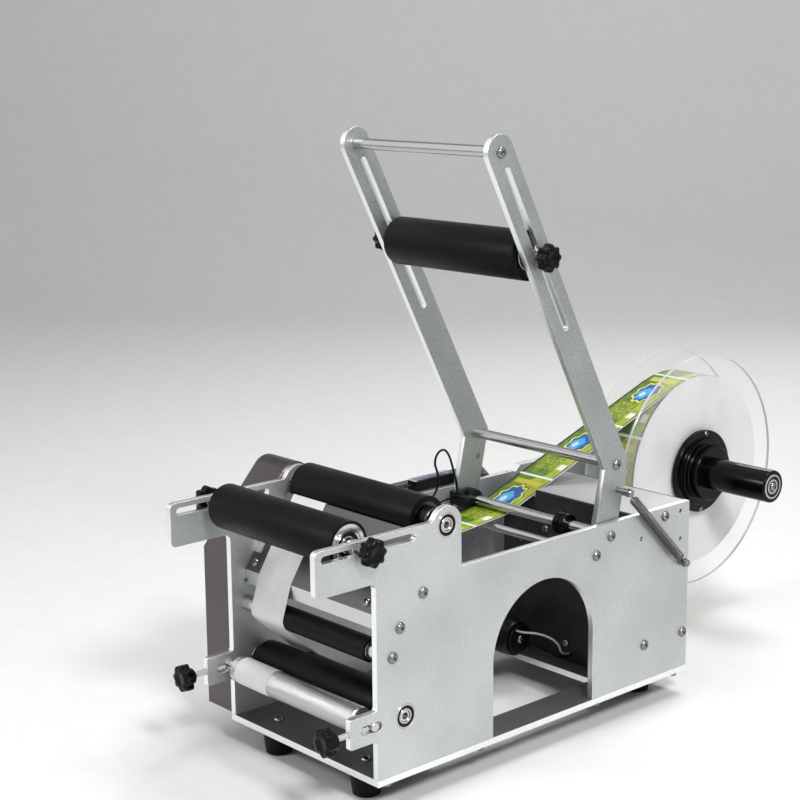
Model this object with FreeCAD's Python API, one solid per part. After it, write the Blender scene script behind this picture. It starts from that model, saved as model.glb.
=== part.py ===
"""Semi-automatic bottle labelling machine: frame, rollers, swing frame, label reel and drive.

Machine axes in millimetres: X = 0 is the mid-plane between the side plates, Y = 0 is their front
edge and Z = 0 is the underside of the base plate. +X is the operator's right, +Y the back, +Z up.
The finished pieces are moved so that the origin is the middle of the base of the whole machine.
"""
import FreeCAD, Part
import math
import os
from FreeCAD import Vector as V

# ---------------------------------------------------------------- frame
PLATE_GAP = 190.0          # between the inner faces of the side plates
PLATE_T = 6.0              # side plate thickness
BASE_T = 6.0               # base plate thickness
PLATE_LEN = 397.0          # front edge to rear edge of a side plate
PLATE_TOP = 170.7          # top edge of the low rear part of a side plate
HORN_TIP = -62.5           # front end of the horn that carries the front roller
HORN_LOW = 176.0           # underside of the horn
HORN_TOP = 215.0           # top edge of the horn
LUG_TIP = -29.0            # front face of the pinch roller lug
LUG_LOW = 41.0
LUG_TOP = 67.0
EAR_R = 16.5               # round ear at the rear roller's bearing
ARCH_Y0 = 133.5            # arch in the right side plate, open down to the base plate
ARCH_Y1 = 262.0
ARCH_TOP = 136.0
CORNER_R = 6.0             # rounded inside corners
TIP_R = 5.0                # rounded outside corners of horn and lug
WINDOW_HALF = 67.0         # half width of the opening in the base plate
WINDOW_Y0 = 100.0
WINDOW_Y1 = 300.0
INNER = PLATE_GAP / 2
OUTER = INNER + PLATE_T
PLATE_MID = INNER + PLATE_T / 2

# ---------------------------------------------------------------- clearances
RUN = 0.05                 # radial clearance of a shaft in its hole
REST = 0.3                 # gap between pieces that lie on or beside each other
SCREW_GAP = 0.1            # radial clearance of a screw in a plain hole
SLIDE = 0.2                # clearance of an axle end in its slot, each side
WEB_GAP = 0.2              # label web to the rollers that it passes

# ---------------------------------------------------------------- axes (y, z)
REAR_AXIS = (79.2, 209.5)
FRONT_AXIS = (-12.0, 207.0)
TRACTION_AXIS = (31.1, 54.6)
GUIDE_AXIS = (17.1, 109.1)
MOTOR_AXIS = (281.0, 31.0)
PIVOT_AXIS = (284.5, 158.0)
WEB_ROD_AXIS = (25.6, 132.9)
STOP_AXIS = (264.9, 143.6)
REEL_BEHIND = 174.5        # reel axis behind the rear edge of the plates
REEL_AXIS = (PLATE_LEN + REEL_BEHIND, 146.0)
PINCH_Z = 54.2

# ---------------------------------------------------------------- rollers
FRONT_R = 20.0
FRONT_HALF = 82.0
REAR_R = 20.0
REAR_X0 = -84.0
REAR_X1 = 76.0
UPPER_R = 22.0
UPPER_HALF = 82.0
TRACTION_R = 20.5
TRACTION_X0 = -32.5
TRACTION_X1 = 85.0
SLEEVE_R = 18.0            # plain sleeve beside the traction rubber
SLEEVE_X0 = -85.0
GUIDE_R = 10.5
GUIDE_HALF = 76.0
GUIDE_BEARING_R = 8.0
GUIDE_BEARING_W = 5.0
PINCH_R = 12.0
PINCH_HALF = 83.0
SHAFT_R = 5.0
STOP_R = 4.0
BEARING_R = 11.0           # 10 x 22 x 6 ball bearing in the side plates
BEARING_W = 6.0
ROLLER_BEARING_R = 13.0    # 10 x 26 x 8 ball bearing in the roller ends
ROLLER_BEARING_W = 8.0
STUD_R = 3.0               # threaded ends that carry the star knobs
WASHER_T = 1.5

# ---------------------------------------------------------------- label web
WEB_X0 = -75.0
WEB_X1 = -30.0
WEB_T = 0.2
ROLL_R = 102.5
CORE_R = 41.0
CORE_BORE = 38.0

# ---------------------------------------------------------------- peel plate
PEEL_T = 2.0
PEEL_BEND = (16.0, 140.5)  # front of the bend between flange and slope
PEEL_ANGLE = 57.9          # slope of the plate above the horizontal
PEEL_GAP = 1.2             # rounded peel edge to the rear roller
PEEL_FLANGE = 12.5
PEEL_HALF = 84.5           # half width of the narrow upper part
PEEL_SCREW_UP = 8.0
PEEL_STEP = 18.0           # length of the full width strip above the bend

# ---------------------------------------------------------------- swing frame
ARM_T = 6.0
ARM_W = 30.0
ARM_GAP = 1.0              # running gap between arm and side plate
ARM_BEND = (298.5, 221.5)
ARM_TOP = (148.0, 512.0)
ARM_TAIL = 26.0            # length of the tail below the pivot
HANDLE_R = 5.0
TIE_ROD_R = 5.0
ARM_SLOT_TOP = 17.2        # slot's end centres, measured along the arm from the handle
ARM_SLOT_LOW = 174.8
UPPER_ALONG = 102.0        # upper roller, measured along the arm from the handle
POST_AT = (300.5, 197.0)   # spring post on the arm
PIN_IN = 13.0              # spring pin on the side plate, in from its rear edge
PIN_AT = (PLATE_LEN - PIN_IN, 113.0)

# ---------------------------------------------------------------- reel
DISC_R = 125.0
DISC_T = 3.0
FAR_DISC_X = -75.3         # inner face of the far disc
NEAR_DISC_X = -29.4        # inner face of the near disc
HUB_R = 44.5
HUB_T = 6.0
HUB_SCREW_AT = 41.0        # radius of the hub screws' circle
HUB_SCREW_TURNS = (math.radians(86), math.radians(266))
TINY_R = 1.5
TINY_HEAD_R = 2.8
TINY_HEAD_H = 1.6
SPIGOT_L = 14.0            # part of each hub that reaches into the core
HUB_STEP_R = 36.5
COLLAR_STEP = 4.0          # the near hub steps down twice towards the tube's free end
SNOUT_R = 29.5
SNOUT_L = 10.0
TUBE_R = 17.0
TUBE_X0 = -86.0
TUBE_X1 = 70.5
CLIP_W = 1.5               # groove beside the near hub, for the clip that keeps the flange in place
CLIP_DEPTH = 0.8
SPINDLE_R = 6.0
REEL_ARM_T = 8.0
REEL_ARM_LAP = 44.0        # length of the reel arm that lies on the plate
REEL_ARM_Y0 = PLATE_LEN - REEL_ARM_LAP
REEL_ARM_TOP = 178.5
REEL_ARM_R = 28.5

# ---------------------------------------------------------------- side cover and drive
COVER_X = -143.0
COVER_T = 1.5
COVER_FRONT = 5.0
COVER_SHOULDER = 154.0
COVER_EAR_R = 18.0
COVER_FOOT = 128.0         # rear end of the slope behind the ear
COVER_LOW = 4.0
COVER_BACK = 322.0
COVER_NOTCH_Y = 291.0      # corner that is cut away round the left spring
COVER_NOTCH_Z = 147.0
MOTOR_BELT_X = -110.5      # middle of the belt from the motor to the traction roller
ROLLER_BELT_X = -126.0     # middle of the belt from the traction roller to the rear roller
BELT_W = 9.0
BELT_T = 1.6
PULLEY_R = 12.0
PULLEY_RIM = 1.5

# ---------------------------------------------------------------- electronics box
PANEL_Y = 320.0            # front face of the box
BOX_X0 = -71.0             # left wall
SHEET_T = 2.0

# ---------------------------------------------------------------- screws and feet
SCREW_R = 2.5
HEAD_R = 5.0
HEAD_H = 3.0
SMALL_R = 2.0              # small button head screws
SMALL_HEAD_R = 4.0
SMALL_HEAD_H = 2.4
TAPPED = 12.0              # depth of the tapped holes in the rod ends
FOOT_H = 24.0
FOOT_TOP_R = 15.0
FOOT_LOW_R = 12.0
FOOT_X = 60.0
FOOT_IN = 25.0              # rear feet and rear screws, in from the rear edge
REAR_SCREW_IN = 16.0
FOOT_YS = (22.0, PLATE_LEN - FOOT_IN)
BASE_SCREW_YS = (12.0, 120.0, 270.0, PLATE_LEN - REAR_SCREW_IN)

KNOB_R = 12.5
KNOB_H = 14.0
LOBES = 8
LOBE_HALF = math.radians(13)
KNOB_FLANK = 11.0          # where lobe and valley meet
KNOB_VALLEY = 10.2
KNOB_BOSS = 4.0            # height of the round boss under the lobes

PEEL_SCREW = (51.4, 157.2)
SPARE_R = 2.1


def box_y(share):
    """Y at a share of the electronics box's depth, from its front face to the rear of the plates."""
    return PANEL_Y + share * (PLATE_LEN - PANEL_Y)


BOX_SCREWS = ((box_y(0.529), 162.0), (box_y(0.182), 41.3), (box_y(0.909), 40.8))
SPARE_HOLES = ((box_y(0.831), 162.6), (box_y(0.838), 135.4), (box_y(0.095), 146.7))

parts = {}


# ================================================================ helpers
def unit(dy, dz):
    length = math.hypot(dy, dz)
    return dy / length, dz / length


def box(x0, y0, z0, x1, y1, z1):
    return Part.makeBox(x1 - x0, y1 - y0, z1 - z0, V(x0, y0, z0))


def rod_x(x0, x1, at, r):
    return Part.makeCylinder(r, x1 - x0, V(x0, at[0], at[1]), V(1, 0, 0))


def tube_x(x0, x1, at, r_out, r_in):
    return rod_x(x0, x1, at, r_out).cut(rod_x(x0 - 1, x1 + 1, at, r_in))


def rod_y(y0, y1, x, z, r):
    return Part.makeCylinder(r, y1 - y0, V(x, y0, z), V(0, 1, 0))


def rod_z(z0, z1, x, y, r):
    return Part.makeCylinder(r, z1 - z0, V(x, y, z0), V(0, 0, 1))


def prism_x(points, x0, x1):
    """Solid of a closed outline of (y, z) points, between two X planes."""
    corners = [V(x0, y, z) for y, z in points]
    wire = Part.makePolygon(corners + [corners[0]])
    return Part.Face(wire).extrude(V(x1 - x0, 0, 0))


def slot_x(x0, x1, start, end, width):
    """Solid of a round-ended slot from start to end, both (y, z), along X."""
    dy, dz = unit(end[0] - start[0], end[1] - start[1])
    r = width / 2
    side = (-dz * r, dy * r)
    middle = prism_x([(start[0] + side[0], start[1] + side[1]), (end[0] + side[0], end[1] + side[1]),
                      (end[0] - side[0], end[1] - side[1]), (start[0] - side[0], start[1] - side[1])], x0, x1)
    return middle.fuse([rod_x(x0, x1, start, r), rod_x(x0, x1, end, r)]).removeSplitter()


def round_edges_x(shape, spots, radius):
    """Round the edges that run along X through the given (y, z) spots."""
    edges = []
    for edge in shape.Edges:
        a, b = edge.Vertexes[0].Point, edge.Vertexes[-1].Point
        if abs(a.y - b.y) > 1e-6 or abs(a.z - b.z) > 1e-6:
            continue
        if any(math.hypot(a.y - y, a.z - z) < 0.05 for y, z in spots):
            edges.append(edge)
    return shape.makeFillet(radius, edges)


def mirrored(shape):
    return shape.mirror(V(0, 0, 0), V(1, 0, 0))


def both_sides(shape):
    return [shape, mirrored(shape)]


def bolt(length, r=SCREW_R, head_r=HEAD_R, head_h=HEAD_H):
    """Button head screw along +Z: the head's seat at z = 0, its shank below."""
    rim = Part.makeCylinder(head_r, head_h * 0.25)
    crown = Part.makeCone(head_r, head_r * 0.62, head_h * 0.75, V(0, 0, head_h * 0.25))
    shank = Part.makeCylinder(r, length, V(0, 0, -length))
    return rim.fuse([crown, shank]).removeSplitter()


def small_bolt(length):
    return bolt(length, SMALL_R, SMALL_HEAD_R, SMALL_HEAD_H)


def placed(shape, point, axis):
    """Copy of a shape made along +Z, turned to an axis and moved to a point."""
    copy = shape.copy()
    copy.Placement = FreeCAD.Placement(V(*point), FreeCAD.Rotation(V(0, 0, 1), V(*axis)))
    return copy


def side_screw(side, at, length, seat=OUTER):
    return placed(bolt(length), (side * seat, at[0], at[1]), (side, 0, 0))


def star_knob():
    """Eight-lobed star knob along +Z with its seat at z = 0 and a threaded bore."""
    step = 2 * math.pi / LOBES
    edges = []

    def at(r, a):
        return V(r * math.cos(a), r * math.sin(a), KNOB_BOSS)

    for k in range(LOBES):
        a = k * step
        edges.append(Part.Arc(at(KNOB_FLANK, a - LOBE_HALF), at(KNOB_R, a), at(KNOB_FLANK, a + LOBE_HALF)).toShape())
        edges.append(Part.Arc(at(KNOB_FLANK, a + LOBE_HALF), at(KNOB_VALLEY, a + step / 2),
                              at(KNOB_FLANK, a + step - LOBE_HALF)).toShape())
    lobes = Part.Face(Part.Wire(edges)).extrude(V(0, 0, KNOB_H - KNOB_BOSS))
    envelope = Part.makeCylinder(KNOB_R + 1, KNOB_H - 2.5)
    envelope = envelope.fuse(Part.makeCone(KNOB_R + 1, KNOB_R - 2.5, 2.5, V(0, 0, KNOB_H - 2.5)))
    body = lobes.common(envelope).fuse(Part.makeCylinder(7.0, KNOB_BOSS))
    return body.cut(Part.makeCylinder(STUD_R + RUN, KNOB_H - 3.0)).removeSplitter()


def add(name, *shapes):
    """Put solids into a node; a node that is named again grows by the new solids."""
    solids = parts[name].Solids if name in parts else []
    for shape in shapes:
        solids = solids + shape.Solids
    parts[name] = solids[0] if len(solids) == 1 else Part.makeCompound(solids)


# ================================================================ side plates and base
def pinch_y():
    """Pinch roller axis: the two rollers with the backing strip between them."""
    return TRACTION_AXIS[0] - TRACTION_R - PINCH_R - 2 * WEB_GAP - WEB_T


PINCH_AXIS = (pinch_y(), PINCH_Z)
PINCH_END_R = 4.0
PINCH_KNOB_OUT = 14.5
LUG_SLOT = (-13.8, 0.8)
HORN_SLOT = (-52.8, 41.3)
PINCH_STUD_R = 2.5


def side_plate(holes):
    """Right side plate: horn, ear, lug, slots and holes."""
    ear_y, ear_z = REAR_AXIS
    outline = [(0, BASE_T), (0, LUG_LOW), (LUG_TIP, LUG_LOW), (LUG_TIP, LUG_TOP), (0, LUG_TOP), (0, HORN_LOW),
               (HORN_TIP, HORN_LOW), (HORN_TIP, HORN_TOP), (ear_y, HORN_TOP), (ear_y + EAR_R, HORN_TOP - 4),
               (ear_y + EAR_R, PLATE_TOP), (PLATE_LEN, PLATE_TOP), (PLATE_LEN, BASE_T)]
    plate = prism_x(outline, INNER, OUTER)
    plate = round_edges_x(plate, [(0, LUG_LOW), (0, LUG_TOP)], CORNER_R / 2)
    plate = round_edges_x(plate, [(0, HORN_LOW)], CORNER_R)
    plate = round_edges_x(plate, [(HORN_TIP, HORN_LOW), (HORN_TIP, HORN_TOP)], TIP_R)
    plate = round_edges_x(plate, [(LUG_TIP, LUG_LOW), (LUG_TIP, LUG_TOP)], TIP_R / 3)
    above = box(INNER - 1, ear_y, ear_z, OUTER + 1, ear_y + 2 * EAR_R, ear_z + 3 * EAR_R)
    plate = plate.cut(above).fuse(rod_x(INNER, OUTER, REAR_AXIS, EAR_R)).removeSplitter()
    foot_of_ear = (ear_y - math.sqrt(EAR_R ** 2 - (HORN_TOP - ear_z) ** 2), HORN_TOP)
    plate = round_edges_x(plate, [foot_of_ear], CORNER_R)
    cuts = [slot_x(INNER - 1, OUTER + 1, (HORN_SLOT[0], FRONT_AXIS[1]), (HORN_SLOT[1], FRONT_AXIS[1]),
                   2 * (STUD_R + SLIDE)),
            slot_x(INNER - 1, OUTER + 1, (LUG_SLOT[0], PINCH_Z), (LUG_SLOT[1], PINCH_Z),
                   2 * (PINCH_END_R + SLIDE))]
    for at in (REAR_AXIS, TRACTION_AXIS):
        cuts.append(rod_x(INNER - 1, OUTER + 1, at, BEARING_R))
    for at in (WEB_ROD_AXIS, PEEL_SCREW, GUIDE_AXIS, PIVOT_AXIS, STOP_AXIS) + holes:
        cuts.append(rod_x(INNER - 1, OUTER + 1, at, SCREW_R + SCREW_GAP))
    for at in SPARE_HOLES:
        cuts.append(rod_x(INNER - 1, OUTER + 1, at, SPARE_R))
    cuts.append(rod_x(INNER - 1, OUTER + 1, PIN_AT, STUD_R + RUN))
    cuts.append(rod_y(LUG_TIP - 1, LUG_SLOT[0], PLATE_MID, PINCH_Z, PINCH_STUD_R + RUN))
    for y in BASE_SCREW_YS:
        cuts.append(rod_z(BASE_T - 1, BASE_T + 13, PLATE_MID, y, SMALL_R + RUN))
    return plate.cut(cuts)


def frame_plates():
    """Right plate with its arch; left plate with the holes for motor, cover and reel arm."""
    arch_r = (ARCH_Y1 - ARCH_Y0) / 2
    arch_y = (ARCH_Y0 + ARCH_Y1) / 2
    arch_z = ARCH_TOP - arch_r
    arch = box(INNER - 1, ARCH_Y0, BASE_T - 1, OUTER + 1, ARCH_Y1, arch_z)
    arch = arch.fuse(rod_x(INNER - 1, OUTER + 1, (arch_y, arch_z), arch_r)).removeSplitter()
    add("right_side_plate", side_plate(BOX_SCREWS).cut(arch))
    holes = [rod_x(-OUTER - 1, -INNER + 1, MOTOR_AXIS, 9.0)]
    for at in MOTOR_SCREWS + COVER_POSTS:
        holes.append(rod_x(-OUTER - 1, -INNER + 1, at, SMALL_R + RUN))
    add("left_side_plate", mirrored(side_plate(BOX_SCREWS[:1])).cut(holes))


COVER_POSTS = ((16.0, 130.0), (190.0, 158.0), (300.0, 110.0), (110.0, 20.0))
MOTOR_SCREW_R = 17.0
MOTOR_SCREWS = tuple((MOTOR_AXIS[0] + MOTOR_SCREW_R * math.cos(a), MOTOR_AXIS[1] + MOTOR_SCREW_R * math.sin(a))
                     for a in (math.pi / 4, 3 * math.pi / 4, 5 * math.pi / 4, 7 * math.pi / 4))


def base_plate():
    plate = box(-OUTER, 0, 0, OUTER, PLATE_LEN, BASE_T)
    window = box(-WINDOW_HALF, WINDOW_Y0, -1, WINDOW_HALF, WINDOW_Y1, BASE_T + 1)
    corners = [e for e in window.Edges if abs(e.Vertexes[0].Point.z - e.Vertexes[-1].Point.z) > BASE_T]
    plate = plate.cut(window.makeFillet(3.0, corners))
    for y in BASE_SCREW_YS:
        for x in (-PLATE_MID, PLATE_MID):
            plate = plate.cut(rod_z(-1, BASE_T + 1, x, y, SMALL_R + SCREW_GAP))
            add("frame_screws", placed(small_bolt(BASE_T + 10), (x, y, 0), (0, 0, -1)))
    for x in (-FOOT_X, FOOT_X):
        for y in FOOT_YS:
            plate = plate.cut(rod_z(-1, BASE_T + 1, x, y, SCREW_R + SCREW_GAP))
    add("base_plate", plate)


def feet():
    for x in (-FOOT_X, FOOT_X):
        for y in FOOT_YS:
            cone = Part.makeCone(FOOT_LOW_R, FOOT_TOP_R, FOOT_H, V(x, y, -FOOT_H))
            add("rubber_feet", cone.cut(rod_z(-FOOT_H / 2, 1, x, y, SCREW_R + RUN)))
            add("frame_screws", placed(bolt(BASE_T + FOOT_H / 2 - 1), (x, y, BASE_T), (0, 0, 1)))


def tapped_end(shape, side, end, at, depth=TAPPED, r=SCREW_R):
    """Blind hole along X from an end face into a piece, on the +X or -X side."""
    x0, x1 = sorted((side * end, side * (end - depth)))
    return shape.cut(rod_x(x0, x1, at, r + RUN))


def cross_rods():
    """Rods between the side plates, and the screws that hold them."""
    for at, r in ((WEB_ROD_AXIS, SHAFT_R), (STOP_AXIS, STOP_R), (PIVOT_AXIS, SHAFT_R), (GUIDE_AXIS, SHAFT_R)):
        rod = rod_x(-INNER, INNER, at, r)
        for side in (-1, 1):
            rod = tapped_end(rod, side, INNER, at)
            add("frame_screws", side_screw(side, at, PLATE_T + TAPPED - 1))
        add("cross_rods", rod)
    for side in (-1, 1):
        add("frame_screws", side_screw(side, PEEL_SCREW, PLATE_T + TAPPED - 1))
    for at in BOX_SCREWS:
        add("frame_screws", side_screw(1, at, PLATE_T + SHEET_T + 1))


# ================================================================ peel plate
def peel_frame():
    """Unit vectors up the slope and out of its front."""
    a = math.radians(PEEL_ANGLE)
    return (math.cos(a), math.sin(a)), (-math.sin(a), math.cos(a))


def peel_reach():
    """Distance up the slope to the middle of the rounded edge, a gap short of the rear roller."""
    up, out = peel_frame()
    dy, dz = REAR_AXIS[0] - PEEL_BEND[0], REAR_AXIS[1] - PEEL_BEND[1]
    along = dy * up[0] + dz * up[1]
    aside = dy * out[0] + dz * out[1] + PEEL_T / 2
    apart = REAR_R + PEEL_GAP + PEEL_T / 2
    return along - math.sqrt(apart * apart - aside * aside)


def peel_spot(s, depth):
    """Point s up the slope from the bend and depth behind its front face."""
    up, out = peel_frame()
    return (PEEL_BEND[0] + s * up[0] - depth * out[0], PEEL_BEND[1] + s * up[1] - depth * out[1])


def peel_plate():
    """Bent sheet: flange, full width strip, narrower slope and rounded peel edge."""
    by, bz = PEEL_BEND
    half = INNER - REST
    inner_bend = (by + PEEL_T, bz - PEEL_T * math.tan(math.radians(90 - PEEL_ANGLE) / 2))
    flange = prism_x([(by, bz), inner_bend, (by + PEEL_T, bz - PEEL_FLANGE), (by, bz - PEEL_FLANGE)], -half, half)
    low = prism_x([(by, bz), peel_spot(PEEL_STEP, 0), peel_spot(PEEL_STEP, PEEL_T), inner_bend], -half, half)
    reach = peel_reach()
    high = prism_x([peel_spot(PEEL_STEP - 1, 0), peel_spot(reach, 0), peel_spot(reach, PEEL_T),
                    peel_spot(PEEL_STEP - 1, PEEL_T)], -PEEL_HALF, PEEL_HALF)
    nose = rod_x(-PEEL_HALF, PEEL_HALF, peel_spot(reach, PEEL_T / 2), PEEL_T / 2)
    plate = flange.fuse([low, high, nose]).removeSplitter()
    _, out = peel_frame()
    section = [(2, PEEL_T), (48, PEEL_T), (48, 12), (39, 28), (24, 28), (8, 14), (2, 5)]
    seat = peel_spot(PEEL_SCREW_UP, 0)
    for side, x0, x1, screw_x in ((-1, -INNER, WEB_X0 - 2.5, -86.0), (1, 58.0, INNER, 66.0)):
        block = prism_x([peel_spot(*p) for p in section], x0, x1)
        block = tapped_end(block, side, INNER, PEEL_SCREW)
        hole = Part.makeCylinder(SMALL_R + RUN, 13, V(screw_x, seat[0], seat[1]), V(0, -out[0], -out[1]))
        plate = plate.cut(hole)
        add("peel_plate_brackets", block.cut(hole))
        add("frame_screws", placed(small_bolt(12), (screw_x, seat[0], seat[1]), (0, out[0], out[1])))
    add("peel_plate", plate)


# ================================================================ label web and backing strip
def tangent_points(c0, r0, c1, r1):
    """Straight run that touches circle 0 and circle 1; signed radii, positive = circle on the left."""
    dy, dz = c1[0] - c0[0], c1[1] - c0[1]
    dist = math.hypot(dy, dz)
    turn = math.asin((r1 - r0) / dist)
    base = math.atan2(dz, dy) - turn
    left = (-math.sin(base), math.cos(base))
    return ((c0[0] - left[0] * r0, c0[1] - left[1] * r0), (c1[0] - left[0] * r1, c1[1] - left[1] * r1))


def run_sheet(a, b, side):
    """Thin flat run from a to b, its thickness to the given side (+1 left, -1 right)."""
    dy, dz = unit(b[0] - a[0], b[1] - a[1])
    off = (-dz * side * WEB_T, dy * side * WEB_T)
    return prism_x([a, b, (b[0] + off[0], b[1] + off[1]), (a[0] + off[0], a[1] + off[1])], WEB_X0, WEB_X1)


def wrap_sheet(centre, r, a, b, turn):
    """Thin round wrap outside radius r about a centre, from point a to point b; turn +1 or -1."""
    a0 = math.atan2(a[1] - centre[1], a[0] - centre[0])
    a1 = math.atan2(b[1] - centre[1], b[0] - centre[0])
    sweep = (a1 - a0) * turn % (2 * math.pi)

    def at(radius, angle):
        return V(WEB_X0, centre[0] + radius * math.cos(angle), centre[1] + radius * math.sin(angle))

    mid, end = a0 + turn * sweep / 2, a0 + turn * sweep
    outer = r + WEB_T
    edges = [Part.Arc(at(r, a0), at(r, mid), at(r, end)).toShape(), Part.LineSegment(at(r, end), at(outer, end)).toShape(),
             Part.Arc(at(outer, end), at(outer, mid), at(outer, a0)).toShape(),
             Part.LineSegment(at(outer, a0), at(r, a0)).toShape()]
    return Part.Face(Part.Wire(edges)).extrude(V(WEB_X1 - WEB_X0, 0, 0))


def web_to_roll():
    """Straight run of the web from the roll's top to the underside of the pivot shaft."""
    return tangent_points(REEL_AXIS, ROLL_R + WEB_GAP, PIVOT_AXIS, -SHAFT_R - WEB_GAP)


def label_path():
    """Web from the roll's top, under two rods and up to the peel edge; strip from there to the nip."""
    nose = peel_spot(peel_reach(), PEEL_T / 2)
    r_rod = SHAFT_R + WEB_GAP
    r_nose = PEEL_T / 2 + WEB_T / 2
    r_guide = GUIDE_R + WEB_GAP
    r_pull = TRACTION_R + WEB_GAP
    # the web runs towards the front, so a circle above it lies on its right-hand side
    a0, a1 = web_to_roll()
    b0, b1 = tangent_points(PIVOT_AXIS, -r_rod, WEB_ROD_AXIS, -r_rod)
    c0, c1 = tangent_points(WEB_ROD_AXIS, -r_rod, nose, r_nose)
    web = [run_sheet(a0, a1, -1), wrap_sheet(PIVOT_AXIS, r_rod, a1, b0, -1), run_sheet(b0, b1, 1),
           wrap_sheet(WEB_ROD_AXIS, r_rod, b1, c0, -1), run_sheet(c0, c1, -1)]
    bend = peel_spot(0, -WEB_T / 2)
    d0, d1 = tangent_points(nose, r_nose, bend, 0.01)
    e0, e1 = tangent_points(bend, 0.01, GUIDE_AXIS, r_guide)
    f0, f1 = tangent_points(GUIDE_AXIS, r_guide, TRACTION_AXIS, -r_pull)
    nip = (TRACTION_AXIS[0] - r_pull, TRACTION_AXIS[1])
    strip = [wrap_sheet(nose, r_nose, c1, d0, 1), run_sheet(d0, d1, -1), run_sheet(e0, e1, -1),
             wrap_sheet(GUIDE_AXIS, r_guide, e1, f0, 1), run_sheet(f0, f1, -1),
             wrap_sheet(TRACTION_AXIS, r_pull, f1, nip, -1)]
    add("label_web", *web)
    add("backing_strip", *strip)


# ================================================================ rollers
def bearings():
    """Ball bearings in the side plates and in the ends of the guide roller."""
    ring = tube_x(INNER, INNER + BEARING_W, REAR_AXIS, BEARING_R, SHAFT_R + RUN)
    low = tube_x(INNER, INNER + BEARING_W, TRACTION_AXIS, BEARING_R, SHAFT_R + RUN)
    small = tube_x(GUIDE_HALF - GUIDE_BEARING_W, GUIDE_HALF, GUIDE_AXIS, GUIDE_BEARING_R, SHAFT_R)
    for piece in (ring, low, small):
        add("frame_bearings", *both_sides(piece))


def rear_roller():
    add("rear_roller_shaft", rod_x(SHAFT_END, OUTER - 0.8, REAR_AXIS, SHAFT_R))
    add("rear_roller", tube_x(REAR_X0, REAR_X1, REAR_AXIS, REAR_R, SHAFT_R))
    collar_x = REAR_X1 + 1.5
    collar = tube_x(collar_x, collar_x + 9.5, REAR_AXIS, COLLAR_R + 2, SHAFT_R)
    grub = rod_z(REAR_AXIS[1] + SHAFT_R / 2, REAR_AXIS[1] + COLLAR_R + 3, collar_x + 4.7, REAR_AXIS[0], SMALL_R)
    add("rear_roller_shaft", collar.cut(grub))


def traction_roller():
    add("traction_shaft", rod_x(SHAFT_END, OUTER - 0.8, TRACTION_AXIS, SHAFT_R))
    add("traction_roller", tube_x(TRACTION_X0, TRACTION_X1, TRACTION_AXIS, TRACTION_R, SHAFT_R))
    sleeve = tube_x(SLEEVE_X0 + 9.5, TRACTION_X0, TRACTION_AXIS, SLEEVE_R, SHAFT_R)
    grub = rod_z(TRACTION_AXIS[1] + SHAFT_R / 2, TRACTION_AXIS[1] + SLEEVE_R + 1, SLEEVE_X0 + 18, TRACTION_AXIS[0], SMALL_R)
    add("traction_shaft", sleeve.cut(grub), tube_x(SLEEVE_X0, SLEEVE_X0 + 9.0, TRACTION_AXIS, SLEEVE_R, SHAFT_R))


def guide_roller():
    bore = tube_x(-GUIDE_HALF, GUIDE_HALF, GUIDE_AXIS, GUIDE_R, GUIDE_BEARING_R + RUN)
    inside = GUIDE_HALF - GUIDE_BEARING_W - REST
    add("guide_roller", bore.fuse(tube_x(-inside, inside, GUIDE_AXIS, GUIDE_BEARING_R + 1, SHAFT_R + 1)).removeSplitter())
    add("cross_rods", *both_sides(tube_x(GUIDE_HALF + REST, INNER, GUIDE_AXIS, SHAFT_R + 2, SHAFT_R)))


def pinch_roller():
    body = tube_x(-PINCH_HALF, PINCH_HALF, PINCH_AXIS, PINCH_R, SHAFT_R + RUN)
    for side in (-1, 1):
        x0, x1 = sorted((side * (PINCH_HALF - 4), side * (PINCH_HALF + 1)))
        body = body.cut(rod_x(x0, x1, PINCH_AXIS, 9.0))
    add("pinch_roller", body)
    axle = rod_x(-INNER + REST, INNER - REST, PINCH_AXIS, SHAFT_R)
    add("pinch_axle", axle.fuse(rod_x(-OUTER, OUTER, PINCH_AXIS, PINCH_END_R)).removeSplitter())


def pinch_knobs():
    """Star knobs on studs that push the ends of the pinch axle through the lugs."""
    tip = PINCH_AXIS[0] - PINCH_END_R - REST
    seat = LUG_TIP - PINCH_KNOB_OUT
    for name, side in (("right", 1), ("left", -1)):
        x = side * PLATE_MID
        head = rod_y(seat - KNOB_H + 4.0, seat + 3.0, x, PINCH_Z, STUD_R)
        add(name + "_pinch_knob", placed(star_knob(), (x, seat, PINCH_Z), (0, -1, 0)),
            head.fuse(rod_y(seat, tip, x, PINCH_Z, PINCH_STUD_R)).removeSplitter())


def clamp_axle(at, shoulder, reach):
    """Axle between two bars: its body, and threaded studs that pass the slots and carry the knobs."""
    return rod_x(-shoulder, shoulder, at, SHAFT_R).fuse(rod_x(-reach, reach, at, STUD_R))


def free_roller(name, axle_name, at, r, half):
    """Rubber roller that turns on a bearing at each end of its axle."""
    body = tube_x(-half, half, at, r, SHAFT_R + 2.0)
    for side in (-1, 1):
        x0, x1 = sorted((side * (half - ROLLER_BEARING_W - REST), side * (half + 1)))
        body = body.cut(rod_x(x0, x1, at, ROLLER_BEARING_R + RUN))
    add(name, body)
    add(axle_name, *both_sides(tube_x(half - ROLLER_BEARING_W, half, at, ROLLER_BEARING_R, SHAFT_R)))


def knob_pair(name, at, seat):
    """Washer and star knob outside each bar; gives the length of the studs."""
    add(name + "_axle", *both_sides(tube_x(seat, seat + WASHER_T, at, 6.5, STUD_R)))
    knob_seat = seat + WASHER_T + REST
    for side_name, side in (("right", 1), ("left", -1)):
        add(side_name + "_" + name + "_knob", placed(star_knob(), (side * knob_seat, at[0], at[1]), (side, 0, 0)))
    return knob_seat + KNOB_H - KNOB_BOSS


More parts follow.
